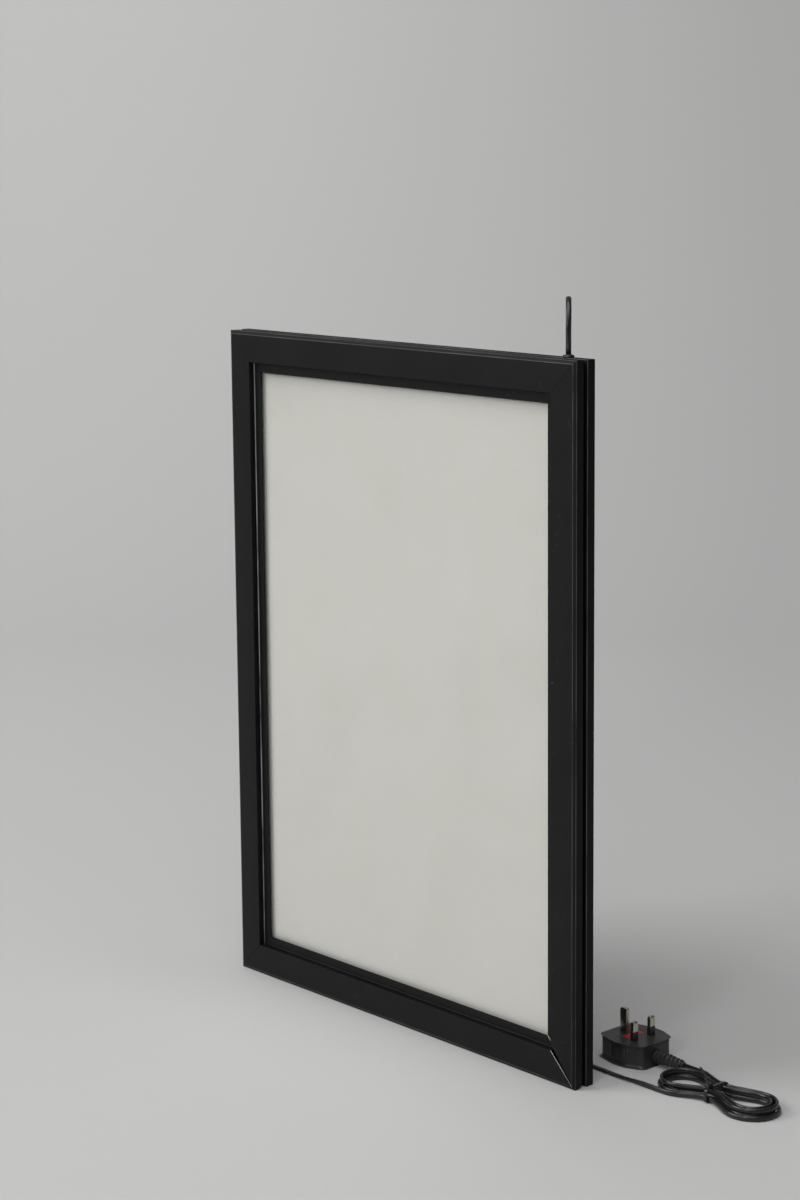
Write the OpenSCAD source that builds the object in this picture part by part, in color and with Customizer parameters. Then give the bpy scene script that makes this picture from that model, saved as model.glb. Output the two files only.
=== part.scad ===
/* [Poster] */
// Width of the poster that the box takes
poster_w = 420; // [297:1:594]
// Height of the poster that the box takes
poster_h = 594; // [420:1:841]

/* [Box] */
// Outer frame beyond the poster on each side
frame_margin = 23; // [22.5:0.5:28]
// Depth of the box from its front face to its back
box_d = 24; // [24:0.5:40]
// Wall of the extruded rails
wall = 1.4; // [1.2:0.1:1.6]
// Gap at each mitre of the rear frame
base_mitre_gap = 0.2; // [0.1:0.1:0.6]

/* [Snap rail] */
// Flat width of a snap rail's face, bevel included
face_w = 29.3; // [26:0.1:34]
// Width of the outer bevel, measured in the face
bevel_w = 3; // [2:0.1:3.4]
// Depth of the outer bevel
bevel_d = 1.8; // [0.5:0.1:2.4]
// Width of the sunken lip that frames the window
lip_w = 9.8; // [7:0.1:12]
// Depth of the lip where it leaves the face
lip_root_d = 6.2; // [5:0.1:6.4]
// Depth of the lip at the window
lip_tip_d = 6.4; // [6:0.1:7]
// Thickness of the lip
lip_t = 1.1; // [1:0.1:1.4]
// Height of the foot under the lip that holds the cover sheet down
lip_foot_h = 1.5; // [1.2:0.1:2]
// Radius of the bead along the lip's root
lip_bead_r = 0.7; // [0.4:0.1:0.8]
// Gap at each mitre of the snap frame
snap_mitre_gap = 0.6; // [0.6:0.1:1.2]
// Radius of the profile's outer edges
corner_r = 0.5; // [0.2:0.1:0.6]
// Length of the rib that the leaf springs push on
spring_rib_l = 3.2; // [2:0.1:3.6]

/* [Hinge] */
// Radius of the bead that a snap rail turns on
bead_r = 1.35; // [1.1:0.05:1.4]
// Running gap round that bead
hinge_gap = 0.1; // [0.05:0.01:0.15]
// Wall of the socket round that bead
socket_wall = 0.85; // [0.7:0.05:1]
// Depth of the hinge line
hinge_d = 8.9; // [8.4:0.1:9.2]
// Thickness of the deck that carries the bead
deck_t = 1.2; // [1:0.1:1.3]
// Widest opening of a snap rail, in degrees
open_angle = 100; // [60:1:105]

/* [Rear frame] */
// Depth of the rear frame's outer side
rear_side_d = 9.2; // [8.6:0.1:9.4]
// Outer wall of the rear frame
rear_wall = 1.5; // [1.2:0.1:1.8]
// Thickness of the rim shelf and of the rear flange
flange_t = 1.2; // [1:0.1:1.4]
// Distance of the riser wall from the outer side
riser_u = 5.6; // [5.2:0.1:6]
// Play between the poster's edge and the step that holds it
poster_play = 1; // [0.5:0.1:2]
// Distance of the inner wall from the outer side
inner_wall_u = 31; // [30:0.5:31.5]
// Reach of the seat under the sheets, from the inner wall
seat_w = 7; // [5:0.5:8]
// Width of the rib that takes the back panel's screws
screw_rib_w = 2.8; // [2.4:0.1:3.4]

/* [Sheets] */
// Thickness of the clear cover sheet
cover_t = 1; // [0.5:0.1:1.2]
// Thickness of the opal diffuser
diffuser_t = 2; // [1.5:0.1:3]
// Thickness of the light guide
guide_t = 5; // [3:0.5:6]
// Thickness of the reflector
reflector_t = 0.5; // [0.3:0.1:1]
// Thickness of the back panel
panel_t = 1.8; // [1.5:0.1:3]
// Gap between neighbouring sheets
sheet_gap = 0.1; // [0.05:0.05:0.2]

/* [Lighting] */
// Distance from an end of the box to the end of each LED board
led_end_inset = 50; // [42:1:120]
// Distance between LEDs along a board
led_pitch = 15; // [10:1:30]
// Length of the driver in the top rail
driver_l = 160; // [100:5:200]
// Width of the driver
driver_w = 18.4; // [14:0.1:19]
// Thickness of the driver
driver_t = 9.4; // [6:0.1:9.6]

/* [Lead] */
// Width of the flat lead
lead_w = 4.9; // [4:0.1:5]
// Thickness of the flat lead
lead_t = 3; // [2.4:0.1:3]
// Distance of the lead's grommet from the right end
grommet_x_inset = 27; // [25:0.5:60]
// Diameter of the grommet's domed flange
grommet_d = 9; // [8:0.1:9.2]
// Height of the grommet's dome
grommet_h = 2.5; // [1.5:0.1:4]
// Radius of the innermost fold of the tied hank
hank_fold_r = 15.5; // [15:0.5:20]
// Length of the straight runs of the hank
hank_run = 79; // [74:1:98]
// Step from one loop of the hank to the next
hank_step = 5; // [5:0.1:6]

/* [Plug] */
// Length of the plug body from its lead to its far edge
plug_l = 50; // [46:1:54]
// Width of the plug body
plug_w = 50; // [46:1:54]
// Thickness of the plug body
plug_t = 21; // [19:0.5:24]
// Length of the strain relief
relief_l = 34; // [20:1:45]
// Pitch of the pins, the same both ways
pin_pitch = 22.2; // [20:0.1:24]

/* [Hidden] */

// Circles of bores, beads and sockets are fine enough to be true rounds
$fn = 48;
// A little more than nothing, for cuts that pass a face
past = 1;

// Outer size
outer_w = poster_w + 2 * frame_margin;
outer_h = poster_h + 2 * frame_margin;
front_y = -box_d / 2;
back_y = box_d / 2;

// Hinge
hinge_u = bead_r + hinge_gap + socket_wall;
socket_r = bead_r + hinge_gap + socket_wall;
// The socket ends here on its rear side, and the mouth runs from there to the neck's other side
mouth_from = 145 - open_angle;
mouth_to = 215;

// Depths of the stack behind the lip
cover_clear = 0.3;
cover_d = lip_tip_d + lip_t + lip_foot_h + cover_clear;
diffuser_d = cover_d + cover_t + sheet_gap;
guide_d = diffuser_d + diffuser_t + sheet_gap;
reflector_d = guide_d + guide_t + sheet_gap;
seat_d = reflector_d + reflector_t + sheet_gap;
inner_deck_d = diffuser_d + sheet_gap;

// Rear frame
rim_d = box_d - rear_side_d;
panel_d = box_d - panel_t - 0.1;
inner_wall_end = panel_d - sheet_gap;
deck_d = hinge_d - deck_t / 2;
step_u = frame_margin - poster_play;
inner_face_u = inner_wall_u + wall;
panel_play = 0.3;
pocket_d = rim_d + flange_t;
pocket_depth = rear_side_d - 2 * flange_t;
pocket_w = riser_u - rear_wall;

// Corner keys and their screws
key_play = 0.2;
key_arm = 18;
key_screw_r = 1.5;
key_screw_l = 5;
key_screw_inset = 12;
thread_gap = 0.05;

// Back panel screws
panel_screw_r = 1.2;
panel_screw_head_r = 2.7;
panel_screw_head_h = 1.4;
panel_screw_l = 5.4;
panel_screw_u = inner_wall_u - 0.7;
panel_screws_short = [for (k = [-1, 0, 1]) k * (outer_w / 2 - 83)];
panel_screws_long = [for (k = [-3, -1, 1, 3]) k / 3 * (outer_h / 2 - 95)];

// Leaf springs
spring_l = 50;
spring_t = 0.5;
spring_gap = 0.4;
spring_rib_u = 8;
spring_rib_t = 1.2;
spring_step_u = 16;
spring_step_t = 1;
spring_step_h = 1.9;
springs_short = [for (k = [-1, 1]) k * (outer_w / 2 - 143)];
springs_long = [for (k = [-1, 0, 1]) k * (outer_h / 2 - 150)];

// Sheets
guide_side_u = inner_face_u + 2.6;
guide_end_u = inner_face_u + 0.6;

// LED boards, chips and wires
led_board_l = outer_h - 2 * led_end_inset;
led_board_t = 1;
led_board_w = 5;
led_l = 3.5;
led_w = 2.8;
led_t = 1.2;
glue_gap = 0.1;
wire_d = 1.6;
wire_sides = 8;
wire_hole_d = 3;
wire_hole_z = led_board_l / 2 + wire_d / 2 + 0.3;

// Driver and terminal block, in the top rail's chamber
driver_x = -20;
driver_wall = 0.8;
driver_cap_l = 6;
driver_d = inner_deck_d + wall + 0.3;
chamber_u = riser_u + wall;
driver_u = chamber_u + 1.2;
terminal_l = 16;
terminal_w = 14;
terminal_t = 8;
terminal_x = driver_x + driver_l / 2 + driver_cap_l + 24;
terminal_u = chamber_u + 5;

// Grommet and clamp
grommet_x = outer_w / 2 - grommet_x_inset;
grommet_y = back_y - rear_side_d / 2;
grommet_neck_d = 6.6;
grommet_play = 0.1;
clamp_l = 12;
clamp_w = 14.4;
clamp_x = grommet_x - 32;
inside_bend = 12;
inside_u = chamber_u + 2 + inside_bend;
clamp_split = 0.4;
clamp_screw_r = 1.1;
clamp_screw_head_r = 1.9;
clamp_screw_head_h = 1;
clamp_screw_off = 5;
clamp_slot_play = 0.2;

// Route of the free lead: its corners, and the radius of the bend at each
lead_sides = 8;
lead_corners = [
    [grommet_x, grommet_y, outer_h + grommet_h],
    [grommet_x, grommet_y, outer_h + grommet_h + 46],
    [171, 43, outer_h + grommet_h + 46],
    [171, 43, 1.6],
    [232, 40, 1.6],
    [270, 40, 2.5],
    [285.5, 40, 2.5]
];
lead_bends = [0, 24, 24, 30, 40, 40, 0];
lead_ring_step = 14.5;
lead_bend_steps = 5;
// Where the lead twists from lying flat to standing on its edge
lead_twist_x = [232, 270];

// Tied hank: two layers of loops, in along the lower one and out along the upper one
hank_centre = [330, 65.5];
hank_z = 2.5;
hank_layer = 5.5;
hank_waist = 3.2;
hank_lift = 1.4;
hank_turn_in = 2;
hank_climb = 0.25;
hank_turns = 3.75;
hank_rings = 24;
hank_sides = 6;
hank_start_l = 5;
hank_end_l = 18.5;
hank_half = hank_run / 2;

// Cable tie round the hank's waist
tie_w = 3.6;
tie_t = 1;
tie_gap = 0.3;
// The loops already draw apart within the tie's width
tie_side_gap = 0.8;

// Plug, lying on its back with its pins up
plug_axis_z = hank_z + hank_layer;
plug_edge_r = 5;
plug_face_inset = 2;
plug_relief_x = hank_centre[0] - hank_half - hank_end_l;
plug_x = plug_relief_x - relief_l;
plug_y = hank_centre[1] + hank_fold_r + hank_step * (hank_turns - hank_turn_in - hank_climb);
relief_r = [4.4, 6.8];
relief_slot_w = 1.6;
relief_slots = 5;
pin_line = 17;
live_pin = [4, 6.35, 17.7];
earth_pin = [8, 4, 22.7];
pin_chamfer = 0.8;
pin_sleeve_l = 9;
pin_sleeve_t = 0.3;
fuse_carrier = [8.4, 22, 7];
fuse_carrier_off = 12;
fuse_play = 0.15;

// Colours
black_metal = [0.09, 0.09, 0.10];
bare_metal = [0.72, 0.72, 0.74];
steel = [0.62, 0.63, 0.65];
panel_cream = [0.82, 0.80, 0.76];
cord_black = [0.06, 0.06, 0.06];
plug_grey = [0.13, 0.13, 0.14];
fuse_red = [0.75, 0.10, 0.08];
board_white = [0.92, 0.92, 0.90];
nylon_white = [0.88, 0.88, 0.85];

// Maths for swept tubes
function unit(v) = v / norm(v);
function smooth(k) = let (c = min(1, max(0, k))) c * c * (3 - 2 * c);
function tangent(p, i) = unit(p[min(i + 1, len(p) - 1)] - p[max(i - 1, 0)]);
function ring(p, t, w, a, b, n) =
    let (wide = unit(w - (w * t) * t), thin = cross(t, wide))
    [for (i = [0 : n - 1]) p + a * cos(360 * i / n) * wide + b * sin(360 * i / n) * thin];
function rings(p, w, a, b, n) = [for (i = [0 : len(p) - 1]) ring(p[i], tangent(p, i), w[i], a, b, n)];
function joined(lists) = [for (l = lists) each l];

// One closed tube through rings of n points each
module tube(ring_list, n) {
    count = len(ring_list);
    sides = [
        for (i = [0 : count - 2]) for (j = [0 : n - 1])
            let (k = (j + 1) % n)
            each [[i * n + j, i * n + k, (i + 1) * n + j], [(i + 1) * n + j, i * n + k, (i + 1) * n + k]]
    ];
    first = [for (j = [1 : n - 2]) [0, j + 1, j]];
    last = [for (j = [1 : n - 2]) [(count - 1) * n, (count - 1) * n + j, (count - 1) * n + j + 1]];
    polyhedron(points = joined(ring_list), faces = concat(sides, first, last), convexity = 10);
}

// Corner points of a route, with each bend rounded to its radius
function bend_points(a, b, c, r, steps) =
    let (u = unit(a - b), v = unit(c - b), half = acos(u * v) / 2,
         reach = r / tan(half), middle = b + unit(u + v) * r / sin(half),
         start = b + u * reach - middle, finish = b + v * reach - middle, turn = 180 - 2 * half)
    [for (i = [0 : steps]) let (k = turn * i / steps)
        middle + (start * sin(turn - k) + finish * sin(k)) / sin(turn)];
function bent_route(p, r, steps) = concat(
    [p[0]],
    [for (i = [1 : len(p) - 2]) each bend_points(p[i - 1], p[i], p[i + 1], r[i], r[i] > 35 ? 1 : steps)],
    [p[len(p) - 1]]
);
function filled_route(p, step) = concat(
    [for (i = [0 : len(p) - 2])
        let (n = max(1, ceil(norm(p[i + 1] - p[i]) / step)))
        each [for (j = [0 : n - 1]) p[i] + (p[i + 1] - p[i]) * j / n]],
    [p[len(p) - 1]]
);

// The free lead's points and the direction of its wide side at each
lead_points = filled_route(bent_route(lead_corners, lead_bends, lead_bend_steps), lead_ring_step);
lead_over = unit([lead_corners[1][1] - lead_corners[2][1], lead_corners[2][0] - lead_corners[1][0], 0]);
function lead_wide(p) =
    p[2] > 40 ? unit(lead_over * (p[2] / outer_h) - [0, 1, 0] * max(0, 1 - p[2] / outer_h)) :
    let (k = 90 * smooth((p[0] - lead_twist_x[0]) / (lead_twist_x[1] - lead_twist_x[0])))
    [0, -cos(k), sin(k)];

// A point of the hank after a number of turns, and how far its loop stands out from the inner one
function hank_out(turn) = hank_step * max(hank_turn_in - turn, 0, turn - hank_turn_in - hank_climb);
function hank_height(turn, x) =
    hank_z + hank_layer * smooth((turn - hank_turn_in) / hank_climb)
    + hank_lift * (1 + cos(180 * min(1, abs(x) / hank_half))) / 2;
function hank_run_y(x, out) =
    hank_waist + out + (hank_fold_r - hank_waist) * (1 - cos(180 * abs(x) / hank_half)) / 2;
function hank_local(turn) =
    let (q = turn - floor(turn), out = hank_out(turn), r = hank_fold_r + out)
    q < 0.25 ? let (x = hank_half * (8 * q - 1)) [x, -hank_run_y(x, out), hank_height(turn, x)] :
    q < 0.5 ? let (a = 720 * (q - 0.25) - 90)
        [hank_half + r * cos(a), r * sin(a), hank_height(turn, hank_half)] :
    q < 0.75 ? let (x = hank_half * (5 - 8 * q)) [x, hank_run_y(x, out), hank_height(turn, x)] :
    let (a = 720 * (q - 0.75) + 90)
        [-hank_half + r * cos(a), r * sin(a), hank_height(turn, hank_half)];
function hank_point(turn) = hank_local(turn) + [hank_centre[0], hank_centre[1], 0];
hank_last = hank_point(hank_turns - 0.0001);
hank_points = concat(
    [hank_point(0) - [hank_start_l, 0, 0]],
    [for (i = [0 : hank_turns * hank_rings - 1]) hank_point(i / hank_rings)],
    [[hank_centre[0] - hank_half, hank_last[1], hank_last[2]]],
    [[hank_centre[0] - hank_half - hank_end_l / 2, hank_last[1], hank_last[2]]],
    [[plug_relief_x, hank_last[1], hank_last[2]]]
);
hank_ring_list = rings(hank_points, [for (p = hank_points) [0, 0, 1]],
    lead_w / 2, lead_t / 2 / sin(60), hank_sides);
hank_gap = min([
    for (i = [0 : len(hank_points) - 14]) for (j = [i + 13 : len(hank_points) - 1])
        if (norm(hank_points[i] - hank_points[j]) < 14)
            for (a = hank_ring_list[i]) for (b = hank_ring_list[j]) norm(a - b)
]);

// Section of a snap rail: x is depth from the front, y is distance inward from the outer side
function turned(r, a) = [hinge_d + r * sin(a), hinge_u - r * cos(a)];

module snap_section() {
    lip_edge = 0.3;
    bead_off = 1.2;
    foot_inset = 3.4;
    foot_t = 1.2;
    outer = [[lip_root_d, face_w], [0, face_w], [0, bevel_w], [bevel_d, 0], [bevel_d + wall, 0]];
    polygon(concat(
        [
            [hinge_d, 0], [hinge_d, wall], [bevel_d + wall / 2, wall], [wall, bevel_w + wall / 2],
            [wall, face_w - wall], [lip_root_d + lip_t, face_w - wall], [lip_root_d + lip_t, face_w],
            [lip_tip_d + lip_t, face_w + lip_w - lip_edge], [lip_tip_d + lip_t - lip_edge, face_w + lip_w],
            [lip_tip_d, face_w + lip_w], [lip_root_d, face_w]
        ],
        bend_points(outer[0], outer[1], outer[2], corner_r, 3),
        bend_points(outer[1], outer[2], outer[3], 2 * corner_r, 2),
        bend_points(outer[2], outer[3], outer[4], corner_r, 3)
    ));
    translate([lip_root_d - lip_bead_r / 2, face_w + bead_off]) circle(r = lip_bead_r);
    translate([lip_root_d + lip_t / 2, face_w + lip_w - foot_inset])
        square([lip_tip_d - lip_root_d + lip_t / 2 + lip_foot_h, foot_t]);
    translate([hinge_d, hinge_u]) circle(r = socket_r);
    translate([wall / 2, spring_rib_u]) square([wall / 2 + spring_rib_l, spring_rib_t]);
}

// What the socket of a snap rail leaves out for the bead and for its neck
module socket_section() {
    translate([hinge_d, hinge_u]) circle(r = bead_r + hinge_gap);
    polygon(concat([[hinge_d, hinge_u]],
        [for (i = [0 : 4]) turned(2 * socket_r, mouth_from + (mouth_to - mouth_from) * i / 4)]));
}

// A bar of a section, from one depth to another and from one inward distance to another
module bar(d0, d1, u0, u1) {
    translate([d0, u0]) square([d1 - d0, u1 - u0]);
}

// Section of a rear frame rail, in the same terms
module base_section() {
    edge = 0.4;
    translate([hinge_d, hinge_u]) circle(r = bead_r);
    bar(deck_d, deck_d + deck_t, hinge_u, step_u);
    bar(deck_d, inner_deck_d + wall, step_u - wall, step_u);
    bar(inner_deck_d, inner_deck_d + wall, step_u - wall, inner_face_u);
    bar(deck_d - spring_step_h, deck_d + deck_t / 2, spring_step_u, spring_step_u + spring_step_t);
    bar(deck_d, box_d, riser_u, riser_u + wall);
    polygon([
        [rim_d + edge, 0], [box_d - edge, 0], [box_d, edge], [box_d, riser_u + wall],
        [box_d - flange_t, riser_u + wall], [box_d - flange_t, rear_wall], [rim_d + flange_t, rear_wall],
        [rim_d + flange_t, riser_u + wall], [rim_d, riser_u + wall], [rim_d, edge]
    ]);
    bar(inner_deck_d, inner_wall_end, inner_wall_u, inner_face_u);
    bar(seat_d, seat_d + wall, inner_wall_u, inner_wall_u + seat_w);
    bar(inner_wall_end - 5, inner_wall_end, inner_wall_u - screw_rib_w, inner_face_u);
}

// A section drawn out along X, its depth along Y and its inward side up
module drawn(length) {
    translate([0, front_y, 0])
        rotate([90, 0, 90])
            linear_extrude(height = length, center = true)
                children();
}

// What lies between the two mitres of a rail of a given outer length
module mitred(length, gap, reach) {
    half = (length - gap * sqrt(2)) / 2;
    intersection() {
        children();
        translate([0, back_y + past, 0])
            rotate([90, 0, 0])
                linear_extrude(height = box_d + 2 * past)
                    polygon([[-half - past, -past], [half + past, -past], [half - reach, reach], [-half + reach, reach]]);
    }
}

module snap_rail(length) {
    reach = face_w + lip_w + past;
    relief_start = hinge_d - hinge_u - 0.8;
    relief = hinge_d + socket_r - relief_start + past;
    difference() {
        mitred(length, snap_mitre_gap, reach) drawn(length) snap_section();
        drawn(length + past) socket_section();
        for (side = [-1, 1])
            translate([side * length / 2, front_y + relief_start, -past])
                linear_extrude(height = past + 2 * socket_r + 0.2)
                    polygon([[side * past, -past], [side * past, relief], [-side * relief, relief]]);
    }
}

module base_rail(length, screws) {
    difference() {
        mitred(length, base_mitre_gap, inner_wall_u + seat_w + past) drawn(length) base_section();
        for (side = [-1, 1])
            translate([side * (length / 2 - key_screw_inset), back_y + past, rear_wall + pocket_w / 2])
                rotate([90, 0, 0])
                    cylinder(h = flange_t + 2 * past, r = key_screw_r + thread_gap);
        for (x = screws)
            translate([x, front_y + inner_wall_end + past, panel_screw_u])
                rotate([90, 0, 0])
                    cylinder(h = panel_screw_l, r = panel_screw_r + thread_gap);
    }
}

// Turns what is built along the bottom side to each of the four sides
module on_bottom() {
    children();
}

module on_top() {
    translate([0, 0, outer_h]) rotate([0, 180, 0]) children();
}

module on_left() {
    translate([-outer_w / 2, 0, outer_h / 2]) rotate([0, 90, 0]) children();
}

module on_right() {
    translate([outer_w / 2, 0, outer_h / 2]) rotate([0, -90, 0]) children();
}

module on_all_corners() {
    for (mx = [0, 1]) for (mz = [0, 1])
        translate([0, 0, outer_h / 2])
            mirror([mx, 0, 0]) mirror([0, 0, mz])
                translate([outer_w / 2, 0, outer_h / 2])
                    children();
}

// Rear frame
module base_rail_top() {
    color(black_metal)
        difference() {
            on_top() base_rail(outer_w, panel_screws_short);
            translate([grommet_x, grommet_y, outer_h - rear_wall - past])
                cylinder(h = rear_wall + 2 * past, d = grommet_neck_d + 2 * grommet_play);
            translate([grommet_x, grommet_y, outer_h - riser_u - wall - past])
                cylinder(h = wall + 2 * past, d = lead_w + 0.8);
        }
}

module base_rail_bottom() {
    color(black_metal) on_bottom() base_rail(outer_w, panel_screws_short);
}

module wire_hole() {
    translate([0, front_y + guide_d + guide_t / 2, inner_wall_u - past])
        cylinder(h = wall + 2 * past, d = wire_hole_d);
}

module base_rail_left() {
    color(black_metal) on_left()
        difference() {
            base_rail(outer_h, panel_screws_long);
            translate([-wire_hole_z, 0, 0]) wire_hole();
        }
}

module base_rail_right() {
    color(black_metal) on_right()
        difference() {
            base_rail(outer_h, panel_screws_long);
            translate([wire_hole_z, 0, 0]) wire_hole();
        }
}

module corner_keys() {
    key_w = pocket_w - 2 * key_play;
    key_d = pocket_depth - 2 * key_play;
    key_u = rear_wall + key_play;
    color(bare_metal) on_all_corners()
        difference() {
            translate([0, front_y + pocket_d + key_play + key_d, 0])
                rotate([90, 0, 0])
                    linear_extrude(height = key_d)
                        polygon([
                            [-key_u, -key_u], [-key_u - key_arm, -key_u], [-key_u - key_arm, -key_u - key_w],
                            [-key_u - key_w, -key_u - key_w], [-key_u - key_w, -key_u - key_arm], [-key_u, -key_u - key_arm]
                        ]);
            for (p = [[key_screw_inset, rear_wall + pocket_w / 2], [rear_wall + pocket_w / 2, key_screw_inset]])
                translate([-p[0], back_y, -p[1]])
                    rotate([90, 0, 0])
                        cylinder(h = key_screw_l + past, r = key_screw_r + thread_gap);
        }
}

module corner_key_screws() {
    hex_r = 0.9;
    hex_h = 1.6;
    color(steel) on_all_corners()
        for (p = [[key_screw_inset, rear_wall + pocket_w / 2], [rear_wall + pocket_w / 2, key_screw_inset]])
            translate([-p[0], back_y - 0.1, -p[1]])
                rotate([90, 0, 0])
                    difference() {
                        cylinder(h = key_screw_l, r = key_screw_r);
                        translate([0, 0, -past]) cylinder(h = hex_h + past, r = hex_r, $fn = 6);
                    }
}

// Places of the back panel's screws, in X and Z
panel_screw_places = concat(
    [for (x = panel_screws_short) each [[x, panel_screw_u], [x, outer_h - panel_screw_u]]],
    [for (z = panel_screws_long) each [
        [-outer_w / 2 + panel_screw_u, outer_h / 2 + z], [outer_w / 2 - panel_screw_u, outer_h / 2 + z]]]
);

module back_panel() {
    inset = riser_u + wall + panel_play;
    color(black_metal)
        difference() {
            translate([-outer_w / 2 + inset, front_y + panel_d, inset])
                cube([outer_w - 2 * inset, panel_t, outer_h - 2 * inset]);
            for (p = panel_screw_places)
                translate([p[0], front_y + panel_d + panel_t, p[1]]) {
                    translate([0, past, 0])
                        rotate([90, 0, 0]) cylinder(h = panel_t + 2 * past, r = panel_screw_r + 0.2);
                    rotate([90, 0, 0])
                        cylinder(h = panel_screw_head_h, r1 = panel_screw_head_r + 0.1, r2 = panel_screw_r + 0.2);
                }
        }
}

module back_panel_screws() {
    slot_l = 3.4;
    slot_w = 0.8;
    slot_h = 0.9;
    color(steel)
        for (p = panel_screw_places)
            translate([p[0], front_y + panel_d + panel_t, p[1]])
                rotate([90, 0, 0])
                    difference() {
                        union() {
                            cylinder(h = panel_screw_head_h, r1 = panel_screw_head_r, r2 = panel_screw_r);
                            cylinder(h = panel_screw_l, r = panel_screw_r);
                        }
                        for (a = [0, 90])
                            rotate([0, 0, a])
                                translate([-slot_l / 2, -slot_w / 2, -past]) cube([slot_l, slot_w, slot_h + past]);
                    }
}

// A flat sheet behind the front, by its inward edge distances
module sheet(side_u, end_u, depth, thickness) {
    translate([-outer_w / 2 + side_u, front_y + depth, end_u])
        cube([outer_w - 2 * side_u, thickness, outer_h - 2 * end_u]);
}

module reflector_sheet() {
    color("white") sheet(guide_side_u, guide_end_u, reflector_d, reflector_t);
}

module light_guide_plate() {
    color([0.85, 0.90, 0.92]) sheet(guide_side_u, guide_end_u, guide_d, guide_t);
}

module diffuser_sheet() {
    color(panel_cream) sheet(guide_side_u, guide_end_u, diffuser_d, diffuser_t);
}

module cover_sheet() {
    color([0.86, 0.87, 0.87, 0.4]) sheet(frame_margin, frame_margin, cover_d, cover_t);
}

// Lighting
module both_long_sides() {
    on_left() children();
    on_right() children();
}

module led_boards() {
    color(board_white) both_long_sides()
        translate([-led_board_l / 2, front_y + guide_d + (guide_t - led_board_w) / 2, inner_face_u + glue_gap])
            cube([led_board_l, led_board_w, led_board_t]);
}

module led_chips() {
    count = floor(led_board_l / led_pitch);
    color([0.96, 0.92, 0.55]) both_long_sides()
        for (i = [0 : count - 1])
            translate([
                (i - (count - 1) / 2) * led_pitch - led_l / 2,
                front_y + guide_d + (guide_t - led_w) / 2,
                inner_face_u + glue_gap + led_board_t
            ])
                cube([led_l, led_w, led_t]);
}

module wire(corners, bend) {
    count = len(corners);
    points = filled_route(bent_route(corners, [for (i = [0 : count - 1]) bend], 4), 40);
    tube(rings(points, [for (p = points) [0.3, 1, 0.2]], wire_d / 2, wire_d / 2, wire_sides), wire_sides);
}

module led_wires() {
    bend = 2.5;
    wire_y = front_y + driver_d + driver_t / 2;
    low_y = front_y + driver_d + wire_d / 2 + 0.5;
    board_y = front_y + guide_d + guide_t / 2;
    run_z = outer_h - driver_u - driver_w / 2;
    under_z = outer_h - inner_wall_u + wire_d / 2 + 1;
    hole_z = outer_h / 2 + wire_hole_z;
    end_x = outer_w / 2 - inner_face_u - led_board_t;
    side_x = outer_w / 2 - driver_u - driver_w / 2;
    driver_left = driver_x - driver_l / 2 - driver_cap_l - 0.2;
    driver_right = driver_x + driver_l / 2 + driver_cap_l + 0.2;
    color([0.75, 0.12, 0.10]) {
        wire([
            [driver_left, wire_y, run_z], [-side_x, wire_y, run_z],
            [-side_x, board_y, hole_z], [-end_x, board_y, hole_z]
        ], bend);
        wire([
            [driver_right, low_y, run_z - driver_w / 2 + 2], [driver_right + 4, low_y, run_z - driver_w / 2 + 2],
            [driver_right + 12, low_y, under_z],
            [side_x, low_y, under_z], [side_x, board_y, hole_z], [end_x, board_y, hole_z]
        ], bend);
        for (dz = [-2, 2])
            wire([
                [driver_right, wire_y, run_z + dz], [driver_right + 5, wire_y, run_z + dz],
                [terminal_x - terminal_l / 2 - 0.2, wire_y, outer_h - terminal_u - terminal_w / 2 + 1.5 * dz]
            ], bend);
    }
}

module driver_case() {
    color(nylon_white)
        translate([driver_x, front_y + driver_d, outer_h - driver_u])
            rotate([0, 180, 0])
                difference() {
                    translate([-driver_l / 2, 0, 0]) cube([driver_l, driver_t, driver_w]);
                    translate([-driver_l / 2 - past, driver_wall, driver_wall])
                        cube([driver_l + 2 * past, driver_t - 2 * driver_wall, driver_w - 2 * driver_wall]);
                }
}

module driver_end_caps() {
    bore_d = wire_d + 0.6;
    color([0.25, 0.25, 0.27])
        for (side = [-1, 1])
            difference() {
                translate([
                    driver_x + side * (driver_l / 2 + driver_cap_l / 2) - driver_cap_l / 2,
                    front_y + driver_d, outer_h - driver_u - driver_w
                ])
                    cube([driver_cap_l, driver_t, driver_w]);
                translate([
                    driver_x + side * (driver_l / 2 - past), front_y + driver_d + driver_t / 2,
                    outer_h - driver_u - driver_w / 2
                ])
                    rotate([0, side * 90, 0]) cylinder(h = driver_cap_l - 1, d = 2 * bore_d);
            }
}

module driver_board() {
    board_t = 1.2;
    board_inset = 1.4;
    board_y = front_y + driver_d + driver_wall + 0.3;
    low_z = outer_h - driver_u - driver_w + board_inset;
    color([0.10, 0.35, 0.18]) {
        translate([driver_x - driver_l / 2 + 2, board_y, low_z])
            cube([driver_l - 4, board_t, driver_w - 2 * board_inset]);
        translate([driver_x - 16, board_y + board_t, low_z + 2]) cube([18, 5.2, 11]);
        translate([driver_x + 40, board_y + board_t, low_z + 3]) cube([14, 4.6, 9]);
        for (x = [-62, -48, 22])
            translate([driver_x + x, board_y + board_t + 2.9, low_z + 7.8])
                rotate([0, 90, 0]) cylinder(h = 11, r = 2.9);
    }
}

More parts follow.
